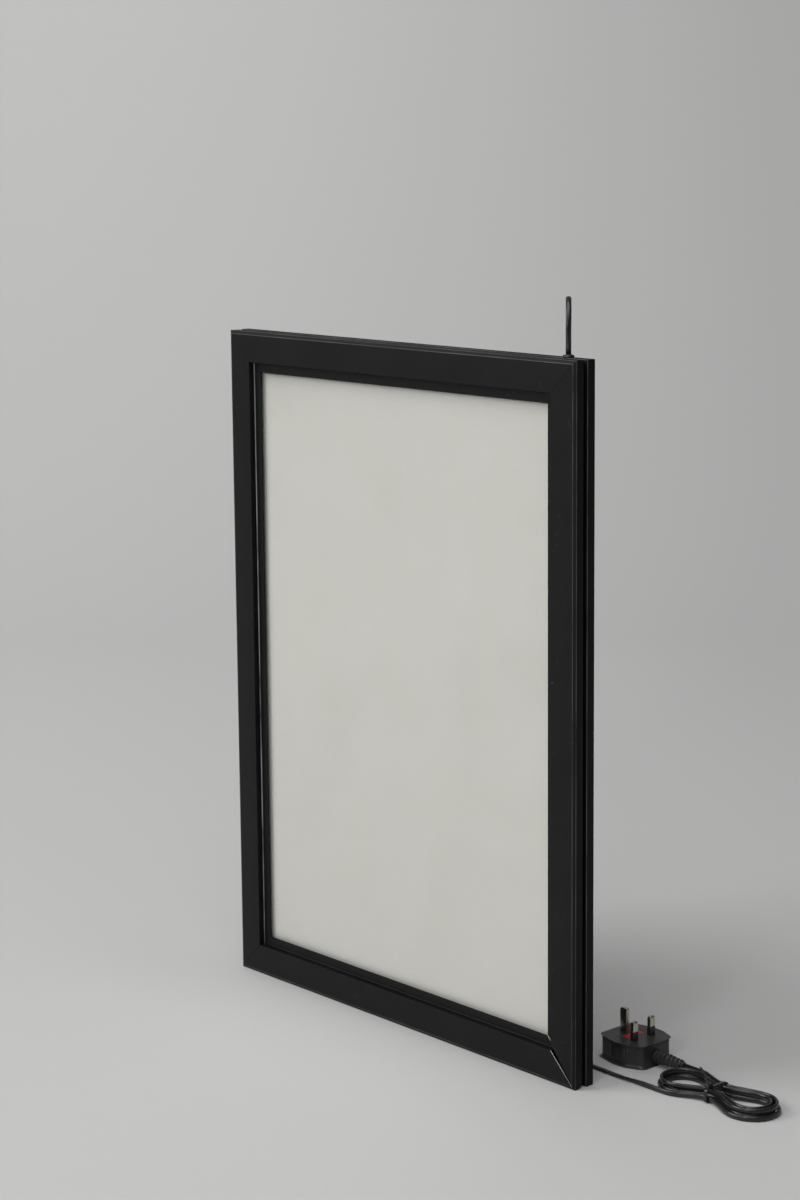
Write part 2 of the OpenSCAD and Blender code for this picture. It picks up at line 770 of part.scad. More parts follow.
module terminal_block() {
    hole_d = 2.4;
    color(nylon_white)
        difference() {
            translate([terminal_x - terminal_l / 2, front_y + driver_d, outer_h - terminal_u - terminal_w])
                cube([terminal_l, terminal_t, terminal_w]);
            for (dz = [-3, 3])
                translate([terminal_x - terminal_l / 2 - past, front_y + driver_d + driver_t / 2, outer_h - terminal_u - terminal_w / 2 + dz])
                    rotate([0, 90, 0]) cylinder(h = 6, d = hole_d);
            for (dz = [-3, 3])
                translate([terminal_x, front_y + driver_d + terminal_t + past, outer_h - terminal_u - terminal_w / 2 + dz])
                    rotate([90, 0, 0]) cylinder(h = 3, d = hole_d);
        }
}

// Clamp that anchors the lead inside the top rail
clamp_z = outer_h - inside_u;
clamp_front = front_y + inner_deck_d + wall + 0.1;
clamp_head_y = front_y + panel_d - 0.4;
clamp_screw_l = 7;

module clamp_block(y0, y1) {
    slot_t = lead_t + 2 * clamp_slot_play;
    slot_w = lead_w + 2 * clamp_slot_play;
    difference() {
        translate([clamp_x - clamp_l / 2, y0, clamp_z - clamp_w / 2]) cube([clamp_l, y1 - y0, clamp_w]);
        translate([clamp_x - clamp_l / 2 - past, grommet_y - slot_t / 2, clamp_z - slot_w / 2])
            cube([clamp_l + 2 * past, slot_t, slot_w]);
        for (side = [-1, 1])
            translate([clamp_x, clamp_head_y + past, clamp_z + side * clamp_screw_off])
                rotate([90, 0, 0]) {
                    cylinder(h = clamp_screw_l + clamp_screw_head_h + past, r = clamp_screw_r + thread_gap);
                    cylinder(h = clamp_screw_head_h + past + 0.1, r = clamp_screw_head_r + 0.2);
                }
    }
}

module cord_clamp_base() {
    color(nylon_white) clamp_block(clamp_front, grommet_y - clamp_split / 2);
}

module cord_clamp_saddle() {
    color(nylon_white) clamp_block(grommet_y + clamp_split / 2, clamp_head_y + 0.1);
}

module cord_clamp_screws() {
    color(steel)
        for (side = [-1, 1])
            translate([clamp_x, clamp_head_y, clamp_z + side * clamp_screw_off])
                rotate([90, 0, 0]) {
                    cylinder(h = clamp_screw_l, r = clamp_screw_r);
                    cylinder(h = clamp_screw_head_h, r = clamp_screw_head_r);
                }
}

module lead_inside() {
    top_z = outer_h + grommet_h;
    start_x = terminal_x + terminal_l / 2 + 0.3;
    route = [[grommet_x, grommet_y, top_z], [grommet_x, grommet_y, clamp_z], [start_x, grommet_y, clamp_z]];
    points = filled_route(bent_route(route, [0, inside_bend, 0], 6), 14);
    color(cord_black)
        tube(rings(points, [for (p = points) [0, 1, 0]], lead_t / 2, lead_w / 2, lead_sides), lead_sides);
}

module grommet() {
    slot = lead_w + 0.4;
    barb_l = 1.6;
    barb_t = 1.2;
    neck_end = rear_wall + 0.3;
    color([0.05, 0.05, 0.05])
        translate([grommet_x, grommet_y, outer_h])
            difference() {
                union() {
                    rotate_extrude()
                        intersection() {
                            translate([0, -(grommet_d * grommet_d / 4 - grommet_h * grommet_h) / (2 * grommet_h)])
                                circle(r = (grommet_d * grommet_d / 4 + grommet_h * grommet_h) / (2 * grommet_h));
                            translate([0, 0.1]) square([grommet_d, grommet_h]);
                        }
                    translate([0, 0, -neck_end]) cylinder(h = neck_end + 0.2, d = grommet_neck_d);
                    translate([0, 0, -neck_end - barb_t])
                        linear_extrude(height = barb_t)
                            intersection() {
                                circle(d = grommet_neck_d + 2 * barb_l);
                                square([grommet_neck_d + 2 * barb_l, grommet_neck_d], center = true);
                            }
                }
                translate([0, 0, -neck_end - barb_t - past])
                    cylinder(h = neck_end + barb_t + grommet_h + 2 * past, d = slot);
            }
}

// Snap frame
module snap_rail_top() {
    color(black_metal) on_top() snap_rail(outer_w);
}

module snap_rail_bottom() {
    color(black_metal) on_bottom() snap_rail(outer_w);
}

module snap_rail_left() {
    color(black_metal) on_left() snap_rail(outer_h);
}

module snap_rail_right() {
    color(black_metal) on_right() snap_rail(outer_h);
}

// A bowed strip between the deck's step and the snap rail's rib
module leaf_spring() {
    foot = [deck_d - spring_t - 0.1, spring_step_u - 0.1];
    tip = [wall + spring_rib_l - 0.4, spring_rib_u + spring_rib_t + spring_gap];
    along = unit(tip - foot);
    side = [-along[1], along[0]];
    middle = (foot + tip) / 2 - side * 0.7;
    drawn(spring_l)
        polygon([foot, middle, tip, tip + side * spring_t, middle + side * spring_t, foot + side * spring_t]);
}

module leaf_springs() {
    color(steel) {
        on_top() for (x = springs_short) translate([x, 0, 0]) leaf_spring();
        on_bottom() for (x = springs_short) translate([x, 0, 0]) leaf_spring();
        both_long_sides() for (x = springs_long) translate([x, 0, 0]) leaf_spring();
    }
}

// Free lead, its tied hank and the tie
module lead() {
    color(cord_black)
        tube(rings(lead_points, [for (p = lead_points) lead_wide(p)], lead_w / 2, lead_t / 2, lead_sides), lead_sides);
}

module lead_hank() {
    echo("least gap of the hank to itself, in mm", hank_gap);
    color(cord_black) tube(hank_ring_list, hank_sides);
}

module cable_tie() {
    near = hank_waist + hank_out(0.125) + lead_t / 2 + tie_side_gap;
    far = hank_waist + hank_out(0.625) + lead_t / 2 + tie_side_gap;
    low = 0.1;
    high = hank_z + hank_lift + hank_layer + lead_w / 2 + tie_gap + tie_t;
    head = [5, 6, 4];
    color(cord_black)
        translate([hank_centre[0] + tie_w / 2, hank_centre[1], 0]) {
            rotate([90, 0, -90])
                linear_extrude(height = tie_w)
                    difference() {
                        translate([-far - tie_t, low]) square([near + far + 2 * tie_t, high - low]);
                        translate([-far, low + tie_t]) square([near + far, high - low - 2 * tie_t]);
                    }
            translate([-tie_w / 2 - head[0] / 2, -near - tie_t + 2, high]) cube(head);
        }
}

// Plug, on its back: its lead side faces +X and its pins point up
module plug_outline(inset) {
    half = plug_w / 2 - inset;
    hull() {
        translate([-plug_edge_r - inset, half - plug_edge_r - 6]) circle(r = plug_edge_r, $fn = 32);
        translate([-plug_edge_r - inset, -half + plug_edge_r + 6]) circle(r = plug_edge_r, $fn = 32);
        translate([-plug_l * 0.4, half - plug_edge_r]) circle(r = plug_edge_r, $fn = 32);
        translate([-plug_l * 0.4, -half + plug_edge_r]) circle(r = plug_edge_r, $fn = 32);
        translate([-plug_l + plug_edge_r + inset, half - plug_edge_r - 4]) circle(r = plug_edge_r, $fn = 32);
        translate([-plug_l + plug_edge_r + inset, -half + plug_edge_r + 4]) circle(r = plug_edge_r, $fn = 32);
    }
}

module plug_body() {
    color(plug_grey)
        translate([plug_x, plug_y, 0])
            difference() {
                hull() {
                    linear_extrude(height = 0.1) plug_outline(plug_face_inset);
                    translate([0, 0, 3]) linear_extrude(height = plug_t - 3.6) plug_outline(0);
                    translate([0, 0, plug_t - 0.1]) linear_extrude(height = 0.1) plug_outline(0.6);
                }
                translate([-pin_line - fuse_carrier_off, 0, plug_t])
                    cube([fuse_carrier[0] + 2 * fuse_play, fuse_carrier[1] + 2 * fuse_play, 2 * (fuse_carrier[2] + fuse_play)],
                        center = true);
            }
}

module plug_fuse_carrier() {
    notch = [8, 5, 1];
    color(fuse_red)
        translate([plug_x - pin_line - fuse_carrier_off, plug_y, plug_t])
            difference() {
                translate([0, 0, -fuse_carrier[2] / 2]) cube(fuse_carrier, center = true);
                for (side = [-1, 1])
                    translate([0, side * (fuse_carrier[1] / 2 - notch[1] / 2 + past), 0])
                        cube([fuse_carrier[0] - 2, notch[1], 2 * notch[2]], center = true);
            }
}

module plug_strain_relief() {
    slot_pitch = relief_l / (relief_slots + 2);
    color(plug_grey)
        translate([plug_x + 0.1, plug_y, plug_axis_z])
            rotate([0, 90, 0])
                difference() {
                    cylinder(h = relief_l - 0.1, r1 = relief_r[1], r2 = relief_r[0]);
                    for (i = [1 : relief_slots])
                        translate([0, 0, (i + 0.5) * slot_pitch])
                            for (side = [-1, 1])
                                translate([side * (relief_r[1] - 0.6) - 2, i % 2 == 0 ? -2 : -10, -relief_slot_w / 2])
                                    cube([4, i % 2 == 0 ? 12 : 12, relief_slot_w]);
                }
}

// A pin with its end drawn in, and a waist where a sleeve covers it
module pin(size, sleeve_l) {
    waist = [size[0] - 2 * pin_sleeve_t, size[1] - 2 * pin_sleeve_t, sleeve_l + past];
    translate([0, 0, plug_t]) {
        if (sleeve_l > 0)
            translate([-waist[0] / 2, -waist[1] / 2, 0]) cube(waist);
        translate([-size[0] / 2, -size[1] / 2, sleeve_l]) cube([size[0], size[1], size[2] - sleeve_l - pin_chamfer]);
        hull() {
            translate([-size[0] / 2, -size[1] / 2, size[2] - pin_chamfer - 0.01]) cube([size[0], size[1], 0.01]);
            translate([-size[0] / 2 + pin_chamfer, -size[1] / 2 + pin_chamfer, size[2] - 0.01])
                cube([size[0] - 2 * pin_chamfer, size[1] - 2 * pin_chamfer, 0.01]);
        }
    }
}

module plug_live_neutral_pins() {
    color([0.80, 0.72, 0.45])
        for (side = [-1, 1])
            translate([plug_x - pin_line, plug_y + side * pin_pitch / 2, 0]) pin(live_pin, pin_sleeve_l);
}

module plug_pin_sleeves() {
    core = [live_pin[0] - 2 * pin_sleeve_t, live_pin[1] - 2 * pin_sleeve_t];
    color(plug_grey)
        for (side = [-1, 1])
            translate([plug_x - pin_line, plug_y + side * pin_pitch / 2, plug_t])
                difference() {
                    translate([-live_pin[0] / 2, -live_pin[1] / 2, 0]) cube([live_pin[0], live_pin[1], pin_sleeve_l]);
                    translate([-core[0] / 2, -core[1] / 2, -past]) cube([core[0], core[1], pin_sleeve_l + 2 * past]);
                }
}

module plug_earth_pin() {
    color([0.80, 0.72, 0.45]) translate([plug_x - pin_line - pin_pitch, plug_y, 0]) pin(earth_pin, 0);
}

base_rail_top();
base_rail_bottom();
base_rail_left();
base_rail_right();
corner_keys();
corner_key_screws();
back_panel();
back_panel_screws();
reflector_sheet();
light_guide_plate();
diffuser_sheet();
cover_sheet();
led_boards();
led_chips();
led_wires();
driver_case();
driver_end_caps();
driver_board();
terminal_block();
cord_clamp_base();
cord_clamp_saddle();
cord_clamp_screws();
grommet();
lead_inside();
snap_rail_top();
snap_rail_bottom();
snap_rail_left();
snap_rail_right();
leaf_springs();
lead();
lead_hank();
cable_tie();
plug_body();
plug_strain_relief();
plug_fuse_carrier();
plug_live_neutral_pins();
plug_pin_sleeves();
plug_earth_pin();
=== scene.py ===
"""Looks of a slim poster light box with its lead and plug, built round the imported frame."""
import logging
import math
from dataclasses import dataclass
from enum import Enum
from typing import Any, ClassVar, Iterable, Sequence

import bmesh
import bpy
from mathutils import Matrix, Vector


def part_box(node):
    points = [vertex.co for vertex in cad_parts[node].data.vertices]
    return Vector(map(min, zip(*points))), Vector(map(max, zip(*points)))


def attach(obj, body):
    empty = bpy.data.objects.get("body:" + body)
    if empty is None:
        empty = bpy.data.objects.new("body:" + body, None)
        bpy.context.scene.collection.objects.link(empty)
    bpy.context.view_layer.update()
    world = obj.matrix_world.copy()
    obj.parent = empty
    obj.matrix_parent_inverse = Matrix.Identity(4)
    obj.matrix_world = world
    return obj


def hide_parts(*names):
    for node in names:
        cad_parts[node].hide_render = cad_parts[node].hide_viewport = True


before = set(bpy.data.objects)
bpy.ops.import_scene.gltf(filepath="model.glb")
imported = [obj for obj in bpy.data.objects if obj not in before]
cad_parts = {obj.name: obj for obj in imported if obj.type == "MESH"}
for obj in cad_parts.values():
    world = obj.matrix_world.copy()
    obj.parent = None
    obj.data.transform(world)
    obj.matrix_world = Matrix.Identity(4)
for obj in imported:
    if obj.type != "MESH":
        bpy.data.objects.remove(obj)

LOG = logging.getLogger("light_box")
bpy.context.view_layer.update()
MM = 0.001
Point = tuple[float, float]
Place = Sequence[float]
Piece = bpy.types.Object
Material = bpy.types.Material
Socket = bpy.types.NodeSocket

# Outer size of the box in millimetres, and where its front lies
OUTER_W, OUTER_H, DEPTH = 466.0, 640.0, 24.0
FRONT_Y = -DEPTH / 2

# Kinds of node that are used often
MATH, MIX, RANGE = "ShaderNodeMath", "ShaderNodeMix", "ShaderNodeMapRange"
NOISE, SPLIT, VECTOR = "ShaderNodeTexNoise", "ShaderNodeSeparateXYZ", "ShaderNodeCombineXYZ"
STORED, TRANSFORM = "GeometryNodeInputNamedAttribute", "GeometryNodeTransform"
PAINT = "GeometryNodeSetMaterial"


# ---- Helpers for colours, node trees and meshes


def linear(code: str) -> tuple[float, float, float, float]:
    """Turns an sRGB hex colour to linear light.

    Args:
        code: six hex digits.
    Returns:
        Red, green, blue and an alpha of 1.
    """
    parts = [int(code[i:i + 2], 16) / 255 for i in (0, 2, 4)]
    red, green, blue = (c / 12.92 if c <= 0.04045 else ((c + 0.055) / 1.055) ** 2.4 for c in parts)
    return red, green, blue, 1.0


class Nodes:
    """A node tree in the making."""

    def __init__(self, tree: bpy.types.NodeTree) -> None:
        """Takes the tree that the nodes go in."""
        self.tree = tree

    def add(self, kind: str, *inputs: Any, out: int | str = 0, **settings: Any) -> Socket:
        """Adds a node with its settings, values and links.

        Args:
            kind: the node's type name.
            inputs: a value or feeding output for each input in turn, or a dict of them by name or number.
            out: the output that is wanted.
            settings: attributes of the node.
        Returns:
            The wanted output of the new node.
        """
        node = self.tree.nodes.new(kind)
        for key, value in settings.items():
            setattr(node, key, value)
        for number, given in enumerate(inputs):
            for key, value in (given if isinstance(given, dict) else {number: given}).items():
                if isinstance(value, Socket):
                    self.tree.links.new(value, node.inputs[key])
                else:
                    node.inputs[key].default_value = value
        return node.outputs[out]


def new_object(name: str, mesh: bpy.types.Mesh) -> Piece:
    """Puts a mesh in the scene.

    Args:
        name: the object's name.
        mesh: what it shows.
    Returns:
        The object, at the origin.
    """
    made = bpy.data.objects.new(name, mesh)
    bpy.context.scene.collection.objects.link(made)
    return made


def plain_mesh(made: Piece) -> Piece:
    """Turns what an object's modifiers make into its own plain mesh.

    Args:
        made: the object.
    Returns:
        The same object, without modifiers.
    """
    shown = made.evaluated_get(bpy.context.evaluated_depsgraph_get())
    mesh = bpy.data.meshes.new_from_object(shown)
    mesh.name = made.name
    made.modifiers.clear()
    made.data = mesh
    return made


def point_out(made: Piece) -> Piece:
    """Merges doubles and makes the faces of a closed mesh point outwards.

    Args:
        made: the object.
    Returns:
        The same object.
    """
    shell = bmesh.new()
    shell.from_mesh(made.data)
    bmesh.ops.remove_doubles(shell, verts=shell.verts, dist=1e-6)
    bmesh.ops.recalc_face_normals(shell, faces=shell.faces)
    shell.to_mesh(made.data)
    shell.free()
    return made


def smooth(made: Piece, degrees: float) -> Piece:
    """Shades a mesh smooth.

    Args:
        made: the object.
        degrees: edges sharper than this stay sharp.
    Returns:
        The same object.
    """
    made.data.shade_smooth()
    made.data.set_sharp_from_angle(angle=math.radians(degrees))
    return made


def mesh_from(name: str, points: Iterable[Place], faces: Iterable[Sequence[int]],
              edges: Iterable[Sequence[int]] = ()) -> Piece:
    """Makes an object from points.

    Args:
        name: the object's name.
        points: its points in millimetres.
        faces: the point numbers of each face.
        edges: the point numbers of each loose edge.
    Returns:
        The object.
    """
    mesh = bpy.data.meshes.new(name)
    mesh.from_pydata([[c * MM for c in p] for p in points], list(edges), list(faces))
    return new_object(name, mesh)


def bevelled(made: Piece, width: float, segments: int = 3, degrees: float = 30) -> Piece:
    """Rounds a mesh's edges.

    Args:
        made: the object.
        width: how wide the rounding is, in millimetres.
        segments: how many faces make it.
        degrees: only edges sharper than this are rounded.
    Returns:
        The same object, shaded smooth.
    """
    bevel = made.modifiers.new("edges", "BEVEL")
    bevel.width = width * MM
    bevel.segments = segments
    bevel.limit_method = "ANGLE"
    bevel.angle_limit = math.radians(degrees)
    return smooth(plain_mesh(made), 50)


def block(name: str, low: Place, high: Place, edge: float) -> Piece:
    """Makes a box with its edges rounded.

    Args:
        name: the object's name.
        low: its lowest corner, in millimetres.
        high: its highest corner.
        edge: how wide the rounding is.
    Returns:
        The object.
    """
    corners = [(x, y, z) for x in (low[0], high[0]) for y in (low[1], high[1]) for z in (low[2], high[2])]
    faces = [(0, 1, 3, 2), (4, 6, 7, 5), (0, 4, 5, 1), (2, 3, 7, 6), (0, 2, 6, 4), (1, 5, 7, 3)]
    return bevelled(point_out(mesh_from(name, corners, faces)), edge)


def joined(name: str, parts: Iterable[Piece]) -> Piece:
    """Makes one object of several, keeping their materials.

    Args:
        name: the new object's name.
        parts: the objects, which are gone afterwards.
    Returns:
        The new object.
    """
    whole = bmesh.new()
    slots: list[Material] = []
    for part in parts:
        start = len(whole.faces)
        whole.from_mesh(part.data)
        whole.faces.ensure_lookup_table()
        slots += [m for m in part.data.materials if m not in slots]
        places = [slots.index(m) for m in part.data.materials]
        for face in whole.faces[start:]:
            face.material_index = places[face.material_index] if places else 0
        bpy.data.objects.remove(part)
    mesh = bpy.data.meshes.new(name)
    whole.to_mesh(mesh)
    whole.free()
    for material in slots:
        mesh.materials.append(material)
    return new_object(name, mesh)


def between_rings(count: int, across: int, closed: bool) -> list[tuple[int, ...]]:
    """Gives the four-sided faces between neighbouring rings of points.

    Args:
        count: how many rings there are.
        across: how many points a ring has.
        closed: whether the last ring is joined to the first.
    Returns:
        Each face's point numbers.
    """
    return [
        (i * across + j, i * across + (j + 1) % across,
         (i + 1) % count * across + (j + 1) % across, (i + 1) % count * across + j)
        for i in range(count if closed else count - 1) for j in range(across)
    ]


def loft(name: str, rings: Sequence[Sequence[Place]]) -> Piece:
    """Makes a closed skin through rings of points, with flat ends.

    Args:
        name: the object's name.
        rings: each ring's points in millimetres, as many in each.
    Returns:
        The object.
    """
    count, across = len(rings), len(rings[0])
    faces = between_rings(count, across, False)
    faces += [tuple(range(across)), tuple(reversed(range((count - 1) * across, count * across)))]
    return point_out(mesh_from(name, [p for ring in rings for p in ring], faces))


def circle(radius: float, sides: int) -> list[Point]:
    """Gives points round a circle about zero."""
    turns = [2 * math.pi * k / sides for k in range(sides)]
    return [(radius * math.cos(a), radius * math.sin(a)) for a in turns]


def arc(centre: Point, radius: float, start: float, end: float, steps: int) -> list[Point]:
    """Gives points along an arc, from one angle in degrees to another."""
    turns = [math.radians(start + (end - start) * i / steps) for i in range(steps + 1)]
    return [(centre[0] + radius * math.cos(a), centre[1] + radius * math.sin(a)) for a in turns]


def rounded(corners: Sequence[tuple[float, float, float]], steps: int = 5) -> list[Point]:
    """Rounds the corners of an outline.

    Args:
        corners: x, y and the radius at each corner.
        steps: pieces of each rounding.
    Returns:
        The outline's points.
    """
    nearly_straight, most_of_side = math.radians(89.5), 0.49
    found: list[Point] = []
    for i, (x, y, radius) in enumerate(corners):
        here = Vector((x, y))
        back = Vector(corners[i - 1][:2]) - here
        on = Vector(corners[(i + 1) % len(corners)][:2]) - here
        half = back.angle(on) / 2
        if radius <= 0 or half > nearly_straight:
            found.append((x, y))
            continue
        reach = min(radius / math.tan(half), back.length * most_of_side, on.length * most_of_side)
        start, end = here + back.normalized() * reach, here + on.normalized() * reach
        for k in range(steps + 1):
            t = k / steps
            found.append(tuple(start.lerp(here, t).lerp(here.lerp(end, t), t)))
    return found


def eased(value: float, low: float, high: float) -> float:
    """Goes gently from 0 to 1 while a value goes from low to high."""
    k = min(1.0, max(0.0, (value - low) / (high - low)))
    return k * k * (3 - 2 * k)


# ---- Geometry Nodes


class Grower(Nodes):
    """A Geometry Nodes tree with named inputs, run once on a mesh."""

    def __init__(self, name: str, inputs: dict[str, str]) -> None:
        """Starts the tree.

        Args:
            name: the tree's name.
            inputs: each input's name, with what it takes, as in Float or Material.
        """
        super().__init__(bpy.data.node_groups.new(name, "GeometryNodeTree"))
        face = self.tree.interface
        for way in ("INPUT", "OUTPUT"):
            face.new_socket("Geometry", in_out=way, socket_type="NodeSocketGeometry")
        self.names = {
            label: face.new_socket(label, in_out="INPUT", socket_type=f"NodeSocket{takes}").identifier
            for label, takes in inputs.items()
        }
        self.given = self.tree.nodes.new("NodeGroupInput").outputs

    def end(self, geometry: Socket) -> None:
        """Realizes what was grown and gives it out."""
        real = self.add("GeometryNodeRealizeInstances", geometry)
        self.tree.links.new(real, self.tree.nodes.new("NodeGroupOutput").inputs[0])

    def run(self, made: Piece, values: dict[str, Any]) -> Piece:
        """Runs the tree on an object.

        Args:
            made: the object whose mesh the tree starts from.
            values: a value for each named input.
        Returns:
            The object with the grown mesh as its own.
        """
        modifier = made.modifiers.new(self.tree.name, "NODES")
        modifier.node_group = self.tree
        for label, value in values.items():
            modifier[self.names[label]] = value
        return plain_mesh(made)


def rail_grower() -> Grower:
    """The tree that draws a section out along X and mitres both ends.

    The section's points carry their depth, inward distance, and outward direction. Each end is pulled in by its own
    gap, with another one on the lip, its edges are broken, and its cut face gets its own finish.

    Returns:
        The tree, ready to run.
    """
    at_ends = [f"{label} at {end}" for label in ("Gap", "Spread", "Lip gap") for end in ("start", "end")]
    lengths = ["Half length", *at_ends, "Lip from", "Broken edge", "Relief depth", "Relief reach"]
    grow = Grower("mitred_rail", {
        **dict.fromkeys(lengths, "Float"), **dict.fromkeys(("Turn", "Place"), "Vector"),
        **dict.fromkeys(("Coat", "Cut at start", "Cut at end"), "Material"),
    })
    given, add = grow.given, grow.add

    # Four rings of the section: the two at each end make its broken edge
    index = add("GeometryNodeInputIndex")
    path = add("GeometryNodeCurvePrimitiveLine", {"Start": (-1, 0, 0), "End": (1, 0, 0)})
    path = add("GeometryNodeResampleCurve", {"Curve": path, "Count": 4})
    path = add("GeometryNodeStoreNamedAttribute", {"Geometry": path, "Name": "ring", "Value": index},
               data_type="FLOAT", domain="POINT")
    section = add("GeometryNodeMeshToCurve", given["Geometry"])
    skin = add("GeometryNodeCurveToMesh", {"Curve": path, "Profile Curve": section, "Fill Caps": True})
    labels = ("ring", "depth", "inward", "out_depth", "out_inward")
    ring, depth, inward, out_depth, out_inward = (add(STORED, {"Name": n}, data_type="FLOAT") for n in labels)

    middle_ring = 1.5
    at_end = add(MATH, ring, middle_ring, operation="GREATER_THAN")
    at_start = add(MATH, 1.0, at_end, operation="SUBTRACT")
    side = add(MATH, add(MATH, at_end, 2.0, operation="MULTIPLY"), 1.0, operation="SUBTRACT")
    from_middle = add(MATH, add(MATH, ring, middle_ring, operation="SUBTRACT"), operation="ABSOLUTE")
    tip = add(MATH, from_middle, 1.0, operation="GREATER_THAN")
    before_tip = add(MATH, 1.0, tip, operation="SUBTRACT")

    def of_end(label: str) -> Socket:
        """Takes the value of the end that a point belongs to."""
        own = add(MATH, at_end, given[f"{label} at end"], operation="MULTIPLY")
        return add(MATH, own, add(MATH, at_start, given[f"{label} at start"], operation="MULTIPLY"), operation="ADD")

    # How far each point of the end is pulled in: by the mitre and its gap, or by the relief behind it
    on_face = add(MATH, of_end("Gap"), add(MATH, inward, of_end("Spread"), operation="MULTIPLY"), operation="ADD")
    on_lip = add(MATH, inward, given["Lip from"], operation="GREATER_THAN")
    wider = add(MATH, on_lip, add(MATH, of_end("Lip gap"), on_face, operation="SUBTRACT"), operation="MULTIPLY")
    gap = add(MATH, on_face, wider, operation="ADD")
    mitre = add(MATH, inward, add(MATH, gap, math.sqrt(0.5), operation="MULTIPLY"), operation="ADD")
    near_edge = add(MATH, inward, given["Relief reach"], operation="LESS_THAN")
    behind = add(MATH, depth, given["Relief depth"], operation="SUBTRACT")
    pulled = add(MATH, mitre, add(MATH, near_edge, behind, operation="MULTIPLY"), operation="MAXIMUM")

    # The last ring is drawn in all round, and the one before it stands back by as much
    ease = add(MATH, given["Broken edge"], tip, operation="MULTIPLY")
    inner = add(MATH, given["Broken edge"], before_tip, operation="MULTIPLY")
    reach = add(MATH, add(MATH, given["Half length"], pulled, operation="SUBTRACT"), inner, operation="SUBTRACT")
    along = add(MATH, side, reach, operation="MULTIPLY")
    drawn_d = add(MATH, depth, add(MATH, out_depth, ease, operation="MULTIPLY"), operation="SUBTRACT")
    at_y = add(MATH, FRONT_Y * MM, drawn_d, operation="ADD")
    at_z = add(MATH, inward, add(MATH, out_inward, ease, operation="MULTIPLY"), operation="SUBTRACT")
    shaped = add("GeometryNodeSetPosition", {"Geometry": skin, "Position": add(VECTOR, along, at_y, at_z)})

    # Over the limit on the cut at the end, under it the other way on the cut at the start
    cut_limit = 0.3
    place_x, normal_x = (add(SPLIT, add(f"GeometryNodeInput{what}")) for what in ("Position", "Normal"))
    end_sign, slope = add(MATH, place_x, operation="SIGN"), add(MATH, normal_x, operation="ABSOLUTE")
    facing = add(MATH, end_sign, slope, operation="MULTIPLY")
    cut = add(PAINT, {"Geometry": shaped, "Material": given["Coat"]})
    ends = (("Cut at start", "LESS_THAN", -cut_limit), ("Cut at end", "GREATER_THAN", cut_limit))
    for label, operation, limit in ends:
        is_cut = add("FunctionNodeCompare", facing, limit, operation=operation)
        cut = add(PAINT, {"Geometry": cut, "Selection": is_cut, "Material": given[label]})
    grow.end(add(TRANSFORM, {"Geometry": cut, "Translation": given["Place"], "Rotation": given["Turn"]}))
    return grow


def lead_grower() -> Grower:
    """The tree that sweeps a flat lead along a line whose points carry the direction of its wide side.

    Returns:
        The tree, ready to run.
    """
    grow = Grower("flat_lead", {"Width": "Float", "Thickness": "Float", "Sides": "Int", "Jacket": "Material"})
    given, add = grow.given, grow.add
    line = add("GeometryNodeMeshToCurve", given["Geometry"])
    wide = add(STORED, {"Name": "wide"}, data_type="FLOAT_VECTOR")
    held = add("GeometryNodeSetCurveNormal", {"Curve": line, "Normal": wide}, mode="FREE")
    ring = add("GeometryNodeCurvePrimitiveCircle", {"Resolution": given["Sides"], "Radius": 0.5})
    section = add(TRANSFORM, {"Geometry": ring, "Scale": add(VECTOR, given["Width"], given["Thickness"], 1.0)})
    tube = add("GeometryNodeCurveToMesh", {"Curve": held, "Profile Curve": section, "Fill Caps": True})
    grow.end(add(PAINT, {"Geometry": add("GeometryNodeSetShadeSmooth", tube), "Material": given["Jacket"]}))
    return grow


def copies_grower() -> Grower:
    """The tree that sets a copy of one part on each point, turned and scaled as the point says.

    Returns:
        The tree, ready to run.
    """
    grow = Grower("copies_on_points", {"Part": "Object", "Finish": "Material"})
    given, add = grow.given, grow.add
    part = add("GeometryNodeObjectInfo", {"Object": given["Part"]}, out="Geometry")
    turn, size = (add(STORED, {"Name": name}, data_type="FLOAT_VECTOR") for name in ("turn", "size"))
    set_out = add("GeometryNodeInstanceOnPoints", {
        "Points": add("GeometryNodeMeshToPoints", given["Geometry"]), "Instance": part, "Rotation": turn, "Scale": size,
    })
    real = add("GeometryNodeRealizeInstances", set_out)
    grow.end(add(PAINT, {"Geometry": real, "Material": given["Finish"]}))
    return grow


def store(made: Piece, name: str, values: Sequence[Any]) -> None:
    """Stores a value on each point of a mesh.

    Args:
        made: the object.
        name: what the value is called.
        values: a number or a vector for each point.
    """
    is_vector = not isinstance(values[0], (int, float))
    layer = made.data.attributes.new(name, "FLOAT_VECTOR" if is_vector else "FLOAT", "POINT")
    for item, value in zip(layer.data, values):
        setattr(item, "vector" if is_vector else "value", value)


# ---- Finishes


